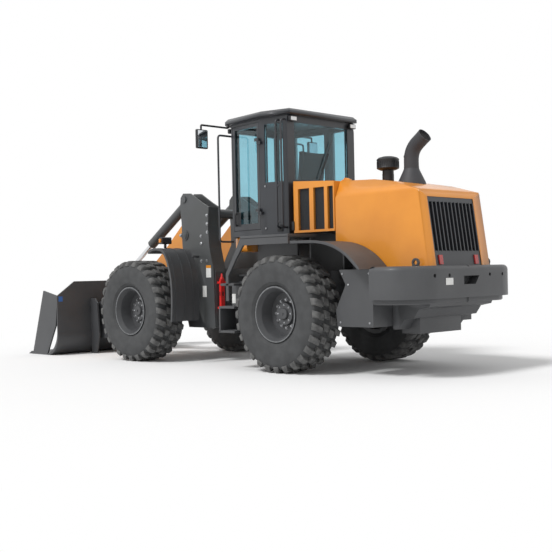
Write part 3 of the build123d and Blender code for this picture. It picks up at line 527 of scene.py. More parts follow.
BOLT_LARGE, BOLT_SMALL = bolt_form("bolt_m24", 0.018, 0.016), bolt_form("bolt_m12", 0.0095, 0.009)
print("bolts made")

# %% [markdown]
# A loader tyre carries deep slanted lugs: 28 on each shoulder, half a step apart, with a smaller block
# between them at the centre. The side wall bulges between the bead and the shoulder.
# The lugs are made once for a left wheel and mirrored for the right, so that both point the same way.

# %% Tyre lugs
LUG_COUNT = 28
LUG_TILT = math.tan(math.radians(20))
LUG_FOOT, FOOT_SPREAD = 0.71, 1.25


def sheared_lug(form, side, half_width):
    """Adds a lug from its side view of (y, radius) points, slanted, wider at its foot and wrapped round."""
    middle = sum(y for y, _ in side) / len(side)
    loops = []
    for sign in (-1, 1):
        loop = []
        for y, radius in side:
            spread = 1.0 if radius > LUG_FOOT else FOOT_SPREAD
            angle = (sign * half_width * spread + (y - middle) * LUG_TILT) / radius
            loop.append(form.verts.new((radius * math.sin(angle), y, radius * math.cos(angle))))
        loops.append(loop)
    faces = [form.faces.new(loops[0]), form.faces.new(loops[1][::-1])]
    for index in range(len(side)):
        after = (index + 1) % len(side)
        faces.append(form.faces.new((loops[0][after], loops[0][index], loops[1][index], loops[1][after])))
    edges = list({edge for face in faces for edge in face.edges})
    bmesh.ops.bevel(form, geom=edges, offset=0.0035, segments=1, affect="EDGES")


def lug_ring(sign):
    """All the lugs of the outer (+1) or the inner (-1) half of a left-hand tyre."""
    form = bmesh.new()
    shoulder = [(0.118, 0.69), (0.118, 0.7365), (0.205, 0.7365), (0.236, 0.717), (0.2545, 0.664),
                (0.24, 0.655)]
    centre = [(0.012, 0.69), (0.012, 0.738), (0.1, 0.738), (0.1, 0.69)]
    sheared_lug(form, [(sign * y, radius) for y, radius in shoulder], 0.036)
    sheared_lug(form, [(sign * y, radius) for y, radius in centre], 0.042)
    bmesh.ops.recalc_face_normals(form, faces=form.faces)
    lugs = mesh_object("lugs", form)
    turn = math.pi / LUG_COUNT if sign < 0 else 0.0
    run_group(lugs, RING, {"Count": LUG_COUNT, "Turn": turn, "Finish": tread_rubber})
    return lugs


outer_lugs, inner_lugs = lug_ring(1), lug_ring(-1)
print("lugs:", len(outer_lugs.data.polygons), "faces on each half")

# %% [markdown]
# The carcass is one turned form, open at its beads. It and the lugs are one kind of rubber on the real tyre.
# Each wheel takes its place from its CAD tyre.

# %% Tyres
CARCASS = [(0.2055, 0.3225), (0.2055, 0.36), (0.222, 0.374), (0.236, 0.404), (0.241, 0.408), (0.2535, 0.47),
           (0.2605, 0.53), (0.2605, 0.575), (0.255, 0.615), (0.244, 0.648), (0.226, 0.68), (0.195, 0.694),
           (0.1, 0.699)]


def wheel_form(parts, centre, side):
    """The meshes of a left-hand wheel, placed at a wheel's centre and mirrored for the right-hand side."""
    form = bmesh.new()
    for part in parts:
        form.from_mesh(part)
    place = Matrix.Translation(centre) @ Matrix.Diagonal((1, side, 1, 1))
    bmesh.ops.transform(form, matrix=place, verts=form.verts)
    return form


carcass_form = bmesh.new()
turned(carcass_form, Vector(), (0, 1, 0), CARCASS + [(-y, radius) for y, radius in CARCASS[::-1]], 96)
open_ends(carcass_form)
carcass_mesh = bpy.data.meshes.new("carcass")
carcass_form.to_mesh(carcass_mesh)
carcass_form.free()

WHEELS = {}
for wheel in WHEEL_NAMES:
    side = 1 if wheel.endswith("left") else -1
    low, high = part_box(f"tyre_{wheel}")
    centre = (Vector(low) + Vector(high)) / 2
    WHEELS[wheel] = (centre, side)
    body = f"wheel_{wheel}"
    carcass = as_piece(f"tyre_carcass_{wheel}", wheel_form([carcass_mesh], centre, side), side_rubber, body,
                       [f"tyre_{wheel}"])
    lugs = as_piece(f"tread_lugs_{wheel}", wheel_form([outer_lugs.data, inner_lugs.data], centre, side),
                    tread_rubber, body)
for spare in (outer_lugs, inner_lugs):
    bpy.data.objects.remove(spare)
print("tyres made:", *WHEELS)

# %% [markdown]
# Each rim carries a ring of wheel nuts, the bolts of the planet hub's cover, and the cover with its plug.
# The edge of the rim flange is rubbed bright. The depths are taken from the outer face of the CAD rim.

# %% Rim fittings
rim_low, rim_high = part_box("rim_front_left")
RIM_FACE = (rim_high[1] - rim_low[1]) / 2
DISH_DEPTH, HUB_RISE = 0.215, 0.045
NUT_CIRCLE, COVER_CIRCLE = 0.178, 0.112
DISH = RIM_FACE - DISH_DEPTH
HUB_FACE = DISH + HUB_RISE


def around(centre, out, count, radius, depth):
    """Places on a circle about the axle, with the outward direction."""
    ring = [radius * Vector((math.sin(a), 0, math.cos(a))) for a in full_turn(count)]
    return [(centre + arm + out * depth, out) for arm in ring]


nut = bolt_form("wheel_nut", 0.016, 0.02)
for wheel, (centre, side) in WHEELS.items():
    body = f"wheel_{wheel}"
    out = Vector((0, side, 0))
    nuts = around(centre, out, 12, NUT_CIRCLE, DISH)
    fasteners(f"wheel_nuts_{wheel}", nuts, nut, bare_steel, body, 3)
    bolts = around(centre, out, 8, COVER_CIRCLE, HUB_FACE)
    fasteners(f"hub_bolts_{wheel}", bolts, BOLT_SMALL, bare_steel, body, 5)
    form = bmesh.new()
    cover = [(0, 0.075), (0.012, 0.075), (0.026, 0.066), (0.03, 0.03), (0.03, 0.001)]
    turned(form, centre + out * HUB_FACE, out, cover, 32)
    turned(form, centre + out * (HUB_FACE + 0.029), out, [(0, 0.014), (0.012, 0.013)], 6)
    as_piece(f"hub_cover_{wheel}", form, grey_paint, body)
    form = bmesh.new()
    flange = [(0, 0.3505), (0.0042, 0.3505), (0.0042, 0.3405), (0, 0.3405)]
    turned(form, centre + out * (RIM_FACE - 0.004), out, flange, 96)
    open_ends(form)
    as_piece(f"rim_edge_{wheel}", form, bright_edge, body)
bpy.data.objects.remove(nut)
print("rims fitted")

# %% [markdown]
# The operator's seat is foam under woven cloth. Each cushion starts as a crowned form whose sides pull in
# between its corners. A cloth simulation with air pressure swells it, a cap keeps it inside the space of the
# CAD cushion, and the sewn channels are pressed in at the end.

# %% Cushion helpers
CLOTH_PRESSURE, CLOTH_FRAMES = 4, 20
CHANNEL_WIDTH, CHANNEL_DEPTH = 0.005, 0.008


def crowned(form, low, high, crown, pull=0.035, cuts=14):
    """Adds a cushion's form between two corners, crowned along one axis and waisted along the others."""
    made = bmesh.ops.create_cube(form, size=2)
    bmesh.ops.subdivide_edges(form, edges=list({e for v in made["verts"] for e in v.link_edges}), cuts=cuts,
                              use_grid_fill=True)
    middle, reach = (low + high) / 2, (high - low) / 2
    flat = [axis for axis in range(3) if axis != crown]
    for vert in form.verts:
        place = vert.co.copy()
        u, v = place[flat[0]], place[flat[1]]
        thick = 0.55 + 0.45 * (1 - abs(u) ** 3.5) * (1 - abs(v) ** 3.5)
        if place[crown] > 0:
            vert.co[crown] = place[crown] * thick
        vert.co[flat[0]] = u * (1 - pull * (1 - v * v))
        vert.co[flat[1]] = v * (1 - pull * (1 - u * u))
        vert.co = middle + Vector(vert.co[axis] * reach[axis] for axis in range(3))


def swell(piece, cap, voxel=0.007):
    """Remeshes a cushion, swells it as cloth under pressure, caps each point's way and keeps the result."""
    remesh = piece.modifiers.new("remesh", "REMESH")
    remesh.mode, remesh.voxel_size = "VOXEL", voxel
    freeze(piece)
    cloth_mod = piece.modifiers.new("cloth", "CLOTH")
    cloth_mod.settings.use_pressure = True
    cloth_mod.settings.uniform_pressure_force = CLOTH_PRESSURE
    cloth_mod.settings.effector_weights.gravity = 0
    cloth_mod.point_cache.frame_start, cloth_mod.point_cache.frame_end = 1, CLOTH_FRAMES
    for step in range(1, CLOTH_FRAMES + 1):
        scene.frame_set(step)
    swollen = piece.evaluated_get(bpy.context.evaluated_depsgraph_get()).to_mesh()
    ways = [end.co - start.co for start, end in zip(piece.data.vertices, swollen.vertices)]
    for vert, way in zip(piece.data.vertices, ways):
        vert.co += way * min(1.0, cap / max(way.length, 1e-9))
    piece.modifiers.clear()
    scene.frame_set(1)


def finish_cushion(piece, channels, across, face, side):
    """Adds one subdivision, then presses sewn channels into the face that the operator sits on."""
    smooth = piece.modifiers.new("smooth", "SUBSURF")
    smooth.levels = smooth.render_levels = 1
    freeze(piece)
    for vert, normal in zip(piece.data.vertices, [Vector(vert.normal) for vert in piece.data.vertices]):
        if normal[face] * side > 0.5:
            depth = sum(math.exp(-((vert.co[across] - line) / CHANNEL_WIDTH) ** 2) for line in channels)
            vert.co -= normal * CHANNEL_DEPTH * min(depth, 1)
    piece.data.shade_smooth()


print("cushions swell under pressure", CLOTH_PRESSURE, "over", CLOTH_FRAMES, "frames")

# %% [markdown]
# The seat cushion lies flat and the back leans. The back is formed upright and sheared about the line where
# it meets the seat, which keeps its height.

# %% Seat cushions
form = bmesh.new()
crowned(form, spot(-0.992, -0.242, 2.106), spot(-0.508, 0.242, 2.212), 2)
cushion = as_piece("seat_cushion", form, cloth, "rear", ["seat"])
swell(cushion, 0.007)
finish_cushion(cushion, [spot(x, 0, 0).x for x in (-0.62, -0.72, -0.82)], 0, 2, 1)
form = bmesh.new()
crowned(form, spot(-0.04, -0.232, 2.228), spot(0.066, 0.232, 2.892), 0)
lean = Matrix.Translation(spot(-1.02, 0, 2.22)) @ Matrix.Shear("XY", 4, (-0.118, 0))
lean = lean @ Matrix.Translation(-spot(0, 0, 2.22))
bmesh.ops.transform(form, matrix=lean, verts=form.verts)
backrest = as_piece("seat_back", form, cloth, "rear")
swell(backrest, 0.006)
finish_cushion(backrest, [2.42, 2.56, 2.70], 2, 0, 1)
print("cushions made")

# %% [markdown]
# Below the cushion a rubber bellows hides the seat's spring, between a foot and a pan. Its folds are blocks
# that are wide and narrow in turn. Armrests stand beside it, and the console with its lever on the right.

# %% Seat base and console
FOLD = 0.035
form = bmesh.new()
block(form, spot(-0.955, -0.195, 1.80), spot(-0.565, 0.195, 1.84), 0.006)
for index in range(6):
    low, narrow = 1.84 + index * FOLD, 0.012 * (index % 2)
    block(form, spot(-0.93 + narrow, -0.17, low), spot(-0.59 - narrow, 0.17, low + FOLD + 0.001), 0.012)
block(form, spot(-0.96, -0.2, 2.05), spot(-0.54, 0.2, 2.104), 0.01)
for side in SIDES:
    block(form, spot(-0.93, side * 0.27 - 0.028, 2.33), spot(-0.62, side * 0.27 + 0.028, 2.375), 0.016)
    block(form, spot(-1.0, side * 0.262 - 0.014, 2.3), spot(-0.92, side * 0.262 + 0.014, 2.36), 0.01)
block(form, spot(-0.72, -0.5, 1.80), spot(-0.4, -0.31, 2.36), 0.02)
tube(form, [spot(-0.47, -0.4, 2.34), spot(-0.46, -0.4, 2.44)], 0.01)
turned(form, spot(-0.46, -0.4, 2.43), UP, [(0, 0.012), (0.02, 0.022), (0.045, 0.02), (0.055, 0.001)], 16)
as_piece("seat_base_and_console", form, plastic, "rear")
print("seat made")

# %% [markdown]
# The steering wheel is a tube bent into a circle round a leaning column, with three spokes and a hub cap.

# %% Steering wheel
WHEEL_CENTRE = spot(-0.33, 0, 2.5)
WHEEL_AXIS = Vector((-0.215, 0, 0.977))
WHEEL_RADIUS = 0.178
form = bmesh.new()
tube(form, [spot(-0.19, 0, 1.86), WHEEL_CENTRE - WHEEL_AXIS * 0.02], 0.04, 16)
block(form, spot(-0.255, -0.075, 1.80), spot(-0.125, 0.075, 1.885), 0.01)
turn = WHEEL_AXIS.to_track_quat("Z", "Y").to_matrix()
circle = [WHEEL_CENTRE + turn @ Vector((WHEEL_RADIUS * math.cos(a), WHEEL_RADIUS * math.sin(a), 0))
          for a in full_turn(48) + [math.tau]]
tube(form, circle, 0.0145, 10)
for angle in full_turn(3):
    reach = turn @ Vector((0.175 * math.cos(angle), 0.175 * math.sin(angle), 0))
    tube(form, [WHEEL_CENTRE, WHEEL_CENTRE + reach], 0.010, 8)
turned(form, WHEEL_CENTRE, WHEEL_AXIS, [(-0.015, 0.04), (0.01, 0.045), (0.015, 0.03), (0.016, 0.001)], 24)
as_piece("steering_wheel", form, plastic, "rear", ["steering_column"])
print("steering wheel made")

# %% [markdown]
# The grab rails are tube bent at two corners. One stands ahead of each side of the cab, two behind the left
# door and one behind the right window.

# %% Grab rails
AHEAD = ((0.6, 3.165), (0.85, 3.165), (0.85, 1.70), (0.6, 1.70))
BEHIND = ((0.66, 3.262), (0.745, 3.262), (0.745, 1.85), (0.66, 1.85))
rails = ((-0.12, 1, AHEAD), (-0.12, -1, AHEAD), (-1.14, 1, BEHIND), (-1.235, 1, BEHIND), (-1.19, -1, BEHIND))
form = bmesh.new()
for x, side, line in rails:
    tube(form, rounded([spot(x, side * y, z) for y, z in line], 0.05), 0.014, 12)
as_piece("grab_rails", form, cab_paint, "rear")
print(len(rails), "rails made")

# %% [markdown]
# A mirror is a moulded shell on a bent arm, with its silvered glass set into the side that faces back.
# The work lamps are small boxes under the roof's edge, two looking back and two ahead.

# %% Mirrors and work lamps
form, glass_form = bmesh.new(), bmesh.new()
for side in SIDES:
    arm = [spot(-0.06, side * y, z) for y, z in ((0.6, 3.315), (0.6, 3.29), (1.1, 3.29), (1.1, 2.98))]
    tube(form, rounded(arm, 0.02), 0.0135, 12)
    low = spot(-0.093, side * 1.1 - 0.098, 2.965)
    block(form, low, low + Vector((0.046, 0.196, 0.262)), 0.018)
    block(glass_form, low + Vector((-0.0015, 0.014, 0.016)), low + Vector((0.004, 0.182, 0.246)), 0.002)
as_piece("mirror_heads", form, plastic, "rear", ["mirrors"])
as_piece("mirror_glass", glass_form, mirror_silver, "rear")

form, glass_form = bmesh.new(), bmesh.new()
for x, y, out in ((-1.295, 0.59, -1), (-1.295, -0.59, -1), (0.045, 0.43, 1), (0.045, -0.43, 1)):
    low, high = sorted((x - out * 0.015, x + out * 0.03))
    block(form, spot(low, y - 0.065, 3.236), spot(high, y + 0.065, 3.303), 0.012)
    block(form, spot(x - 0.01, y - 0.012, 3.298), spot(x + 0.01, y + 0.012, 3.322), 0.002)
    low, high = sorted((x + out * 0.03, x + out * 0.03 + out * 0.003))
    block(glass_form, spot(low, y - 0.052, 3.246), spot(high, y + 0.052, 3.293), 0.001)
as_piece("work_lamps", form, lamp_shell, "rear")
as_piece("work_lamp_glass", glass_form, lamp_glass, "rear")
print("mirrors and lamps made")

# %% [markdown]
# The door has a bent handle over a lock plate. Behind the door the cab's wall is closed by a slate panel.
# Small latches and the rear window's wiper are the last black parts.

# %% Door handle, side panels, latches and wiper
form = bmesh.new()
handle = [(-0.24, 0.625, 2.08), (-0.245, 0.668, 2.08), (-0.245, 0.668, 1.92), (-0.24, 0.625, 1.92)]
tube(form, rounded([spot(*point) for point in handle], 0.018), 0.011, 12)
plate = [(-0.195, 0.6295, 1.9), (-0.195, 0.6295, 2.1), (-0.335, 0.6485, 2.1), (-0.335, 0.6485, 1.9)]
panel(form, [spot(*corner) for corner in plate], 0.004)
as_piece("door_handle", form, plastic, "cab_door")


def cab_side(x, z, out=0.0):
    """A point on the cab's left wall behind the B pillar."""
    return spot(x, 0.71 + (x + 0.8) * 0.1064 + out, z)


def mirrored(points):
    """The same points on the right-hand side, in the order that keeps faces outwards."""
    return [Vector((point.x, -point.y, point.z)) for point in points][::-1]


form = bmesh.new()
corners = [cab_side(x, z) for x, z in ((-0.858, 1.815), (-0.858, 2.445), (-1.125, 2.445), (-1.125, 1.905),
                                       (-1.06, 1.815))]
panel(form, corners, 0.006, 0.002)
panel(form, mirrored(corners), 0.006, 0.002)
as_piece("cab_side_panels", form, panel_paint, "rear")
form = bmesh.new()
block(form, spot(-1.172, 0.672, 1.802), spot(-1.075, 0.688, 1.892), 0.006)
block(form, spot(-1.15, 0.686, 1.83), spot(-1.10, 0.698, 1.86), 0.004)
block(form, spot(-1.352, 0.640, 1.806), spot(-1.306, 0.652, 1.92), 0.004)
as_piece("rear_latches", form, plastic, "rear")

form = bmesh.new()
turned(form, spot(-1.268, 0.10, 2.44), (-1, 0, 0), [(0, 0.022), (0.018, 0.02), (0.022, 0.001)], 20)
tube(form, [spot(-1.284, 0.10, 2.44), spot(-1.284, -0.12, 2.86)], 0.006, 8)
tube(form, [spot(-1.276, 0.02, 2.62), spot(-1.276, -0.2, 3.04)], 0.005, 8)
as_piece("rear_wiper", form, plastic, "rear")
print("cab fitted")

# %% [markdown]
# The exhaust is one bent tube with a rolled lip, standing in a pressed collar on the hood. A near-black disc
# across the inside of its mouth is soot and painted shade of the deep pipe. The precleaner is a spun bowl on
# a short neck, with ribs round its wall.

# %% Stack and bowl
PIPE_RADIUS, BOWL_RADIUS = 0.0925, 0.1385
RIB_COUNT, RIB_SIZE = 30, (0.008, 0.007, 0.072, 1)
form = bmesh.new()
line = rounded([spot(-2.77, 0, 2.49), spot(-2.77, 0, 2.75), spot(-2.965, 0, 2.897)], 0.13, 8)
tube(form, line, PIPE_RADIUS, 32)
along = (line[-1] - line[-2]).normalized()
lip = [(0, PIPE_RADIUS), (0.045, 0.0945), (0.045, 0.087), (0.022, 0.087), (0.022, 0.001)]
turned(form, line[-1] - along * 0.02, along, lip, 32)
turned(form, spot(-2.77, 0, 2.30), UP, [(0, 0.185), (0.05, 0.172), (0.19, 0.105), (0.22, 0.094)], 40)
for z in (2.52, 2.66):
    band = [(0, PIPE_RADIUS), (0, 0.0945), (0.02, 0.0945), (0.02, PIPE_RADIUS)]
    turned(form, spot(-2.77, 0, z), UP, band, 32)
as_piece("exhaust_pipe", form, exhaust_paint, "hood", ["exhaust_stack"])
# A near-black disc in the pipe's shallow, closed mouth: soot, and painted shade where the pipe's depth would
# be.
form = bmesh.new()
turned(form, line[-1] + along * 0.003, along, [(0, 0.0865), (0.001, 0.001)], 32)
as_piece("exhaust_soot", form, soot_and_painted_shade, "hood")
form = bmesh.new()
bowl = [(0, 0.100), (0.012, 0.128), (0.022, 0.142), (0.028, 0.144), (0.036, 0.139), (0.11, 0.137),
        (0.125, 0.143), (0.137, 0.143), (0.158, 0.12), (0.172, 0.07), (0.177, 0.02), (0.178, 0.001)]
turned(form, spot(-2.4, 0, 2.531), UP, bowl, 48)
for angle in full_turn(RIB_COUNT):
    place = spot(-2.4, 0, 2.604) + Vector((math.cos(angle), math.sin(angle), 0)) * BOWL_RADIUS
    rib = Matrix.Translation(place) @ Matrix.Rotation(angle, 4, "Z") @ Matrix.Diagonal(RIB_SIZE)
    bmesh.ops.create_cube(form, size=1, matrix=rib)
neck = [(0, 0.074), (0.1, 0.074), (0.104, 0.0745), (0.124, 0.0745), (0.126, 0.072), (0.18, 0.072)]
turned(form, spot(-2.4, 0, 2.36), UP, neck, 32)
as_piece("precleaner_bowl", form, plastic, "hood", ["precleaner"])
print("stack made")

# %% [markdown]
# The counterweight is one heavy casting, rounded at its corners and rolled over at its top edge.
# It is built as closed forms, and the slots, bores and the room for the hood are cut out of it.
# Booleans do this well, because each form is closed, and the exact solver keeps the flat faces flat.

# %% Counterweight forms
def rounded_plan(points, radii, steps=7):
    """A plan of (x, y) points with each corner turned on a curve of its own size, on both sides."""
    line = [Vector(points[0])]
    for before, corner, after, radius in zip(points, points[1:], points[2:], radii):
        line += turned_corner(Vector(before), Vector(corner), Vector(after), radius, steps)
    return line + [Vector((point.x, -point.y)) for point in line[-2::-1]]


def drawn(plan, levels):
    """A closed form: the plan at each (height, inset) level, drawn in along its own normals."""
    form = bmesh.new()
    rings = []
    for z, inset in levels:
        ring = []
        for index, corner in enumerate(plan):
            way = (plan[(index + 1) % len(plan)] - plan[index - 1]).normalized()
            point = corner + Vector((-way.y, way.x)) * inset
            ring.append(form.verts.new(spot(point.x, point.y, z)))
        rings.append(ring)
    bridge(form, rings, -1)
    return form


def carve(piece, form, operation="DIFFERENCE"):
    """Cuts a closed form out of a piece, or joins it on."""
    bmesh.ops.recalc_face_normals(form, faces=form.faces)
    cutter = mesh_object("cutter", form)
    cut = piece.modifiers.new("cut", "BOOLEAN")
    cut.operation, cut.solver, cut.object = operation, "EXACT", cutter
    freeze(piece)
    bpy.data.objects.remove(cutter)


print("forms can be joined and cut")

# %% [markdown]
# The upper body has the rolled edge. A smaller body below it and the stepped belly are joined on. Then come
# the room for the frame and the hood, the tow slot, the bore of the tow pin and four bolt holes.

# %% Counterweight
REAR = -3.62
TOP_Z, ROLL = 1.305, 0.06
quarter = [math.pi / 2 * step / 5 for step in range(6)]
roll = [(TOP_Z - ROLL + ROLL * math.sin(a), ROLL * (1 - math.cos(a))) for a in quarter]
plan = rounded_plan([(-3.01, 0.45), (-3.01, 1.165), (REAR + 0.24, 1.165), (REAR + 0.02, 0.83), (REAR, 0.0)],
                    (0.01, 0.18, 0.19, 0))
upper = drawn(plan, [(0.925, 0.0)] + roll)
weight = as_piece("counterweight_casting", upper, grey_paint, "rear", ["counterweight"])
plan = rounded_plan([(-3.01, 0.45), (-3.01, 1.095), (REAR + 0.285, 1.095), (REAR + 0.065, 0.78),
                     (REAR + 0.045, 0.0)], (0.01, 0.17, 0.18, 0))
carve(weight, drawn(plan, [(0.866, 0.012), (0.878, 0.0), (0.94, 0.0)]), "UNION")
form = bmesh.new()
belly = [(0.09, 0.94), (0.15, 0.83), (0.30, 0.80), (0.37, 0.70), (0.51, 0.68), (0.61, 0.56), (0.68, 0.56),
         (0.68, 0.94)]
slab(form, [(REAR + x, z) for x, z in belly], -0.64, 0.64)
carve(weight, form, "UNION")
for low, high in (((-3.17, -0.4203, 0.5), (-2.9, 0.4203, 1.4)), ((-3.5, -0.65, 1.279), (-2.9, 0.65, 1.4))):
    form = bmesh.new()
    block(form, spot(*low), spot(*high), 0.0005)
    carve(weight, form)
form = bmesh.new()
tow_slot = [spot(REAR - 0.1, y, z) for y, z in ((0.13, 1.08), (0.13, 1.18), (-0.19, 1.18), (-0.11, 1.08))]
panel(form, tow_slot, 0.24, 0.001)
carve(weight, form)
form = bmesh.new()
turned(form, spot(-3.56, 0, 0.8), UP, [(0, 0.025), (0.6, 0.025)], 32)
for y in (0.42, 0.70, -0.42, -0.70):
    turned(form, spot(REAR - 0.1, y, 1.19), (1, 0, 0), [(0, 0.022), (0.17, 0.022)], 24)
carve(weight, form)
shade(weight, 30)
print("counterweight made of", len(weight.data.polygons), "faces")

# %% [markdown]
# The machine is lifted by two cast eyes on the counterweight. Each is a ring on a low foot.

# %% Lifting eyes
form = bmesh.new()
for side in SIDES:
    ring = [(0, 0.0262), (0, 0.05), (0.025, 0.05), (0.025, 0.0262), (0, 0.0262)]
    turned(form, spot(-3.355, min(side * 0.715, side * 0.740), 1.345), (0, 1, 0), ring, 40)
    side_block(form, side, (-3.402, -3.308), (0.715, 0.740), (1.29, 1.317), 0.002)
open_ends(form, 8)
as_piece("lifting_eyes", form, grey_paint, "rear")
print("lifting eyes made")

# %% [markdown]
# The hood and the cab roof are pressed, so light runs smoothly over their shoulders. Each is a copy of its
# CAD mesh, with its doubles merged and its normals weighted by area: wide faces stay flat and narrow ones
# turn the light.

# %% Pressed panels
def pressed(node, body, finish, angle=50):
    """A copy of a CAD node that rides in its place with smooth shading over its shallow edges."""
    form = bmesh.new()
    form.from_mesh(nodes[node].data)
    form.transform(nodes[node].matrix_world)
    bmesh.ops.remove_doubles(form, verts=form.verts, dist=0.00002)
    piece = as_piece(f"{node}_panels", form, finish, body, [node], angle)
    weigh = piece.modifiers.new("weigh", "WEIGHTED_NORMAL")
    weigh.keep_sharp, weigh.weight = True, 50
    freeze(piece)


pressed("hood", "hood", orange_paint)
pressed("cab_roof", "rear", cab_paint)
print("hood and roof made")

# %% [markdown]
# The fenders are steel sheets bent round the tyres. A few points give the line of each side of the sheet, a
# smooth curve runs through them, and the edge is rolled round a wire. The front ones carry three ribs.

# %% Fenders
def smooth_line(points, steps=6):
    """A smooth line of (x, z) points through the given ones."""
    points = [Vector(point) for point in points]
    ends = [points[0] * 2 - points[1], *points, points[-1] * 2 - points[-2]]
    line = []
    for before, start, end, after in zip(ends, ends[1:], ends[2:], ends[3:]):
        for t in (step / steps for step in range(steps)):
            bend = (2 * before - 5 * start + 4 * end - after) * t * t
            twist = (3 * start - before - 3 * end + after) * t ** 3
            line.append(0.5 * (2 * start + (end - before) * t + bend + twist))
    return line + [points[-1]]


def bent_sheet(form, outer, inner, y0, y1):
    """Adds a sheet bent along two lines of (x, z) points, from y0 to y1."""
    rings = [[form.verts.new(spot(point.x, y, point.y)) for point, y in ((a, y0), (a, y1), (b, y1), (b, y0))]
             for a, b in zip(outer, inner)]
    bridge(form, rings)


FRONT_OUTER = [(1.058, 1.590), (0.985, 1.622), (0.885, 1.636), (0.712, 1.596), (0.600, 1.415), (0.536, 1.170),
               (0.523, 0.90), (0.541, 0.602)]
FRONT_INNER = [(1.050, 1.566), (0.980, 1.596), (0.887, 1.611), (0.728, 1.574), (0.623, 1.405), (0.560, 1.166),
               (0.548, 0.90), (0.565, 0.602)]
REAR_OUTER = [(-1.80, 1.640), (-2.22, 1.630), (-2.475, 1.578), (-2.685, 1.475), (-2.82, 1.365),
              (-2.90, 1.281)]
REAR_INNER = [(-1.80, 1.616), (-2.218, 1.606), (-2.467, 1.555), (-2.668, 1.457), (-2.795, 1.350),
              (-2.87, 1.281)]
FENDER_EDGE, WIRE_LINE, RIB_HALF = 1.198, 1.192, 0.013
form, rear_form = bmesh.new(), bmesh.new()
outer, inner = smooth_line(FRONT_OUTER), smooth_line(FRONT_INNER)
ridge = [point + (point - under).normalized() * 0.008 for point, under in zip(outer, inner)]
rear_outer, rear_inner = smooth_line(REAR_OUTER), smooth_line(REAR_INNER)
for side in SIDES:
    bent_sheet(form, outer, inner, side * 0.70, side * FENDER_EDGE)
    for y in (0.80, 0.96, 1.12):
        bent_sheet(form, ridge[2:], inner[2:], side * (y - RIB_HALF), side * (y + RIB_HALF))
    tube(form, [spot(point.x, side * WIRE_LINE, point.y) for point in outer], 0.008, 8)
    side_block(form, side, (0.62, 0.70), (0.6, 0.72), (1.50, 1.53), 0.004)
    bent_sheet(rear_form, rear_outer, rear_inner, side * 0.655, side * FENDER_EDGE)
    tube(rear_form, [spot(point.x, side * WIRE_LINE, point.y) for point in rear_outer], 0.008, 8)
as_piece("front_fender_sheets", form, grey_paint, "front", ["front_fenders"])
as_piece("rear_fender_sheets", rear_form, grey_paint, "rear", ["rear_fenders"])
print("fenders made")

# %% [markdown]
# Each ladder is a cut plate outside, a plate inside, three steps between them and a platform on top. All its
# members but the cut plate are blocks, so one list gives them: x, y and z from and to, and the edge's radius.

# %% Ladders
LADDER_BLOCKS = (((-0.74, -0.43), (0.90, 1.18), (0.48, 0.51), 0.005),
                 ((-0.74, -0.44), (0.90, 1.18), (0.80, 0.83), 0.005),
                 ((-0.74, -0.48), (0.90, 1.18), (1.10, 1.13), 0.005),
                 ((-0.465, -0.44), (0.90, 1.18), (0.49, 0.81), 0.003),
                 ((-0.76, -0.40), (0.87, 0.905), (0.48, 1.13), 0.008),
                 ((-0.62, -0.50), (0.42, 0.88), (0.60, 0.70), 0.006),
                 ((-1.75, -0.88), (0.651, 1.18), (1.70, 1.74), 0.005))
plate = [(-0.59, 0.90), (-0.64, 0.90), (-0.64, 1.23), (-0.78, 1.43), (-0.93, 1.62), (-1.75, 1.62),
         (-1.75, 1.71), (-0.88, 1.71), (-0.74, 1.48), (-0.59, 1.26)]
form = bmesh.new()
for side in SIDES:
    slab(form, plate, *sorted((side * 1.15, side * 1.18)))
    for x, y, z, edge in LADDER_BLOCKS:
        side_block(form, side, x, y, z, edge)
as_piece("ladder_plates", form, grey_paint, "rear", ["ladders"])
print("ladders made")

# %% [markdown]
# Two round head lamps shine on each side over the front fenders, in bright rims, with an amber marker lamp
# outside them.

# %% Head lamps and marker lamps
RIM_PROFILE = [(0, 0.038), (0.006, 0.038), (0.006, 0.033), (0, 0.033)]
GLASS_PROFILE = [(0, 0.033), (0.003, 0.032), (0.005, 0.02), (0.0055, 0.001)]
form, glass_form = bmesh.new(), bmesh.new()
for side in SIDES:
    for y in (0.972, 1.058):
        place = spot(0.9185, side * y, 1.75)
        turned(form, place, (1, 0, 0), RIM_PROFILE, 28)
        turned(glass_form, place, (1, 0, 0), GLASS_PROFILE, 28)
as_piece("head_lamp_rims", form, bright_edge, "front")
as_piece("head_lamp_glass", glass_form, lamp_glass, "front")
form = bmesh.new()
for side in SIDES:
    side_block(form, side, (0.862, 0.902), (1.098, 1.116), (1.722, 1.778), 0.005)
as_piece("marker_lamps", form, amber_lens, "front")
print("lamps made")

# %% [markdown]
# A painted cover stands under the cab's front. Its plan tapers to the front, and rings of the plan at
# several heights round off its lower and its upper edge.

# %% Cover under the cab
COVER_HALF = 0.56
form = bmesh.new()
plan = [(-0.345, COVER_HALF), (-0.19, COVER_HALF), (-0.13, 0.535), (0.0, 0.445), (0.022, 0.41), (0.028, 0.36)]
plan += [(x, -y) for x, y in plan[::-1]]
rings = []
for z, inset in ((1.56, 0.05), (1.568, 0.025), (1.586, 0.007), (1.615, 0.0), (1.742, 0.0), (1.75, 0.004),
                 (1.755, 0.012)):
    ring = [spot(x - inset if x > -0.3 else x, y * (1 - inset / COVER_HALF), z) for x, y in plan]
    rings.append([form.verts.new(place) for place in ring])
bridge(form, rings, -1)
as_piece("cab_front_cover", form, orange_paint, "rear")
print("cover made")
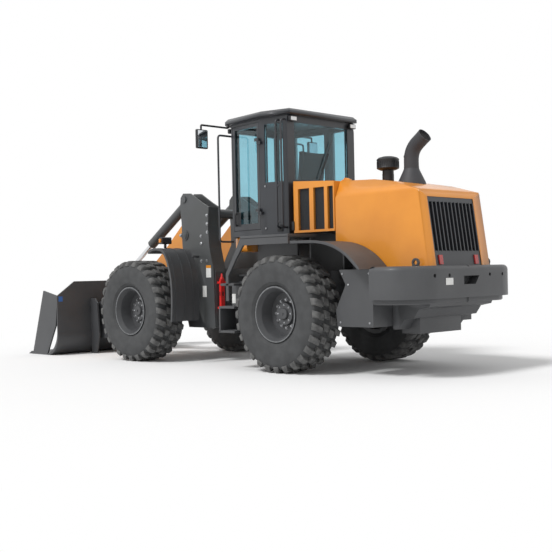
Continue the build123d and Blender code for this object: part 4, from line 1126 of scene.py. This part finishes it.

# %% [markdown]
# A red bar locks the two frames together for transport. A collar and a domed cap stand on it, and a tag marks
# its lower end, with two slots that are thin near-black sheets of painted shade in place of openings.

# %% Lock bar
form = bmesh.new()
collar = [(0, 0.02), (0.0, 0.031), (0.022, 0.031), (0.028, 0.026), (0.028, 0.02)]
turned(form, spot(0.255, 0.5, 1.178), UP, collar, 24)
turned(form, spot(0.255, 0.5, 1.226), UP, [(0, 0.018), (0.03, 0.012), (0.04, 0.001)], 24)
block(form, spot(0.238, 0.533, 0.93), spot(0.272, 0.541, 1.02), 0.003)
as_piece("lock_bar_collar", form, red_paint, "front")
# The two slots are painted shade: thin near-black sheets on flat faces, in place of real openings.
form = bmesh.new()
block(form, spot(0.246, 0.5405, 0.945), spot(0.264, 0.5425, 1.005), 0.0008)
block(form, spot(0.2335, 0.49, 0.945), spot(0.2355, 0.51, 1.005), 0.0008)
as_piece("lock_bar_slot", form, lamp_shell, "front")
print("lock bar made")

# %% [markdown]
# The pins in the towers end in round caps, and a bolted keeper plate stops the lower one from turning. More
# bolts hold the plates of the towers, the side boxes and the cab's side panels, and each pattern has its own
# seed, so that the heads stand at different angles.

# %% Keepers and bolts
TOWER_BOLTS = ((0.573, 1.807), (0.573, 1.70), (0.573, 1.45), (0.46, 1.45), (0.435, 2.10),
               (0.435, 1.98), (0.435, 1.86))
form = bmesh.new()
bolts = []
for side in SIDES:
    out = Vector((0, side, 0))
    turned(form, spot(0.93, side * 0.612, 1.835), out, [(0, 0.055), (0.012, 0.052), (0.014, 0.001)], 32)
    side_block(form, side, (0.90, 1.02), (0.618, 0.63), (1.81, 1.86), 0.006)
    bolts += [(spot(1.0, side * 0.629, 1.835), out)]
    turned(form, spot(0.935, side * 0.606, 2.36), out, [(0, 0.05), (0.014, 0.047), (0.016, 0.001)], 32)
    bolts += [(spot(x, side * 0.6, z), out) for x, z in TOWER_BOLTS]
as_piece("tower_keepers", form, tower_paint, "front")
fasteners("tower_bolts", bolts, BOLT_LARGE, bare_steel, "front", 7)

bolts = [(spot(x, side * 1.0, z), Vector((0, side, 0))) for side in SIDES
         for x, z in ((-2.88, 1.23), (-2.88, 0.65), (-2.47, 1.23), (-2.43, 0.65), (-2.56, 1.10))]
fasteners("side_box_bolts", bolts, BOLT_SMALL, bare_steel, "rear", 9)
corners = ((-0.885, 1.85), (-0.885, 2.41), (-1.1, 2.41), (-1.1, 1.93))
bolts = [(cab_side(x, z, 0.006), Vector((0, 1, 0))) for x, z in corners]
bolts += [(Vector((place.x, -place.y, place.z)), Vector((0, -1, 0))) for place, _ in bolts]
fasteners("side_panel_bolts", bolts, BOLT_SMALL, bare_steel, "rear", 11)
for spare in (BOLT_LARGE, BOLT_SMALL):
    bpy.data.objects.remove(spare)
print("frames fitted, and the bolts' sources taken away")

# %% [markdown]
# The steps are pressed with rows of raised studs, and the platforms with short bars that point two ways in
# turn, so that a boot holds on both. They are many but tiny, so each is a cone or a cube of few faces.

# %% Step treads
STEPS = ((0.51, -0.45, -0.745), (0.83, -0.45, -0.745), (1.13, -0.45, -0.76))
STUD = [(0, 0.012), (0.004, 0.009), (0.004, 0.005)]
BAR_SIZE = (0.024, 0.006, 0.003, 1)
form = bmesh.new()
for side in SIDES:
    for z, x0, x1 in STEPS:
        for row in range(6):
            for column in range(7):
                x = x0 + (x1 - x0) * (column + 0.5) / 7
                y = side * (0.925 + 0.04 * row + 0.02 * (column % 2))
                turned(form, spot(x, y, z - 0.001), UP, STUD, 8)
as_piece("step_treads", form, grey_paint, "rear")
form = bmesh.new()
for side in SIDES:
    for row in range(13):
        for column in range(22):
            place = spot(-0.91 - 0.038 * column, side * (0.80 + 0.03 * row), 1.7405)
            turn = Matrix.Rotation(math.radians(45 if (row + column) % 2 else -45), 4, "Z")
            bar = Matrix.Translation(place) @ turn @ Matrix.Diagonal(BAR_SIZE)
            bmesh.ops.create_cube(form, size=1, matrix=bar)
as_piece("platform_tread", form, grey_paint, "rear")
print("treads made")

# %% [markdown]
# Wire mesh closes the cooler's windows against leaves. The wires are thin tubes with four sides, upright
# ones inside and level ones outside, 12.5 mm apart.

# %% Cooler mesh
MESH_STEP, WIRE = 0.0125, 0.0016
form = bmesh.new()
for side in SIDES:
    for x0, x1 in ((-1.42, -1.62), (-1.69, -1.875), (-1.93, -2.025)):
        for step in range(1, round((x0 - x1) / MESH_STEP)):
            x = x0 - step * MESH_STEP
            tube(form, [spot(x, side * 0.611, 1.797), spot(x, side * 0.611, 2.338)], WIRE, 4)
        for step in range(1, 43):
            z = 1.80 + step * MESH_STEP
            tube(form, [spot(x0 + 0.003, side * 0.6135, z), spot(x1 - 0.003, side * 0.6135, z)], WIRE, 4)
as_piece("cooler_mesh", form, lamp_shell, "rear")
print("cooler mesh made")

# %% [markdown]
# The decals are blank rectangles of film, because the machine carries no lettering. Each is raised a little,
# so that its face never lies in the face below it, which would flicker.

# %% Decals
TOWER_FACE = 0.6005


def decal(name, corners, finish, body):
    """A blank film of (x, y, z) corners, raised by 1.2 mm from a flat face."""
    form = bmesh.new()
    panel(form, [spot(*corner) for corner in corners], 0.0012, 0.0004)
    as_piece(name, form, finish, body)


def upright(x0, x1, y, z0, z1):
    """The corners of an upright rectangle along one side of the machine."""
    return [(x0, y, z0), (x0, y, z1), (x1, y, z1), (x1, y, z0)]


decal("decal_tower_white", upright(0.476, 0.371, TOWER_FACE, 1.21, 1.345)[::-1], white_film, "front")
decal("decal_tower_strip", upright(0.476, 0.371, TOWER_FACE, 1.346, 1.385)[::-1], orange_paint, "front")
decal("decal_tower_low", upright(0.56, 0.475, TOWER_FACE, 0.93, 1.09)[::-1], white_film, "front")
decal("decal_ladder", upright(-0.405, -0.475, 0.9055, 0.86, 0.985), white_film, "rear")
decal("decal_counterweight", [(-3.6119, 0.36, 1.08), (-3.6085, 0.50, 1.08), (-3.6085, 0.50, 1.16),
                             (-3.6119, 0.36, 1.16)], white_film, "rear")
decal("decal_bucket", [(3.3495, 1.175, 0.865), (3.3495, 1.175, 0.948), (3.3495, 1.25, 0.948),
                       (3.3495, 1.25, 0.865)], blue_film, "bucket")
print("decals made")

# %% [markdown]
# The machine stands on a pale floor in soft light, as in a catalogue. The world gives about half of the light
# from everywhere, and one wide sun the rest, from high on the machine's left, so that a soft shadow falls to
# the right. What the camera sees behind the machine, in gloss or through glass, is plain white.

# %% World and sun
WORLD_LIGHT, SUN_LIGHT, SUN_WIDTH = 0.62, 1.9, math.radians(14)
WHITE = (1, 1, 1, 1)

scene.world = bpy.data.worlds.new("studio")
tree = cleared(scene.world)
paths = add(tree, "ShaderNodeLightPath").outputs
seen = paths["Is Camera Ray"]
for kind in ("Is Glossy Ray", "Is Transmission Ray"):
    seen = add(tree, "ShaderNodeMath", {0: seen, 1: paths[kind]}, operation="MAXIMUM").outputs[0]
ambient = add(tree, "ShaderNodeBackground", {"Color": WHITE, "Strength": WORLD_LIGHT})
white = add(tree, "ShaderNodeBackground", {"Color": WHITE, "Strength": 1.0})
both = add(tree, "ShaderNodeMixShader", {0: seen, 1: ambient.outputs[0], 2: white.outputs[0]})
add(tree, "ShaderNodeOutputWorld", {"Surface": both.outputs[0]})

sun = bpy.data.objects.new("sun", bpy.data.lights.new("sun", "SUN"))
scene.collection.objects.link(sun)
sun.data.energy = SUN_LIGHT
sun.data.angle = SUN_WIDTH
sun.rotation_mode = "QUATERNION"
sun.rotation_quaternion = Vector((0.1, 0.62, 0.78)).to_track_quat("Z", "Y")
print("world and sun made")

# %% [markdown]
# The floor is matt paper. For camera rays it fades into the white background away from the machine, so
# that no edge of it shows, while light still bounces off all of it.

# %% Floor
FLOOR_SIZE = 120
FADE_START, FADE_END = 4.5, 8.5

floor_mesh = bpy.data.meshes.new("floor")
half = FLOOR_SIZE / 2
corners = [(-half, -half, 0), (half, -half, 0), (half, half, 0), (-half, half, 0)]
floor_mesh.from_pydata(corners, [], [(0, 1, 2, 3)])
floor = bpy.data.objects.new("floor", floor_mesh)
scene.collection.objects.link(floor)
paper = bpy.data.materials.new("studio_paper")
tree = cleared(paper)
place = add(tree, "ShaderNodeTexCoord").outputs["Object"]
reach = add(tree, "ShaderNodeVectorMath", {0: place}, operation="LENGTH").outputs["Value"]
fade = add(tree, "ShaderNodeMapRange", {"Value": reach, "From Min": FADE_START, "From Max": FADE_END},
           interpolation_type="SMOOTHSTEP")
paths = add(tree, "ShaderNodeLightPath").outputs
fade = add(tree, "ShaderNodeMath", {0: fade.outputs[0], 1: paths["Is Camera Ray"]}, operation="MULTIPLY")
matt = add(tree, "ShaderNodeBsdfDiffuse", {"Color": linear("#F6F6F6")})
glow = add(tree, "ShaderNodeEmission", {"Color": WHITE, "Strength": 1.0})
both = add(tree, "ShaderNodeMixShader", {0: fade.outputs[0], 1: matt.outputs[0], 2: glow.outputs[0]})
add(tree, "ShaderNodeOutputMaterial", {"Surface": both.outputs[0]})
floor_mesh.materials.append(paper)
print("floor made")
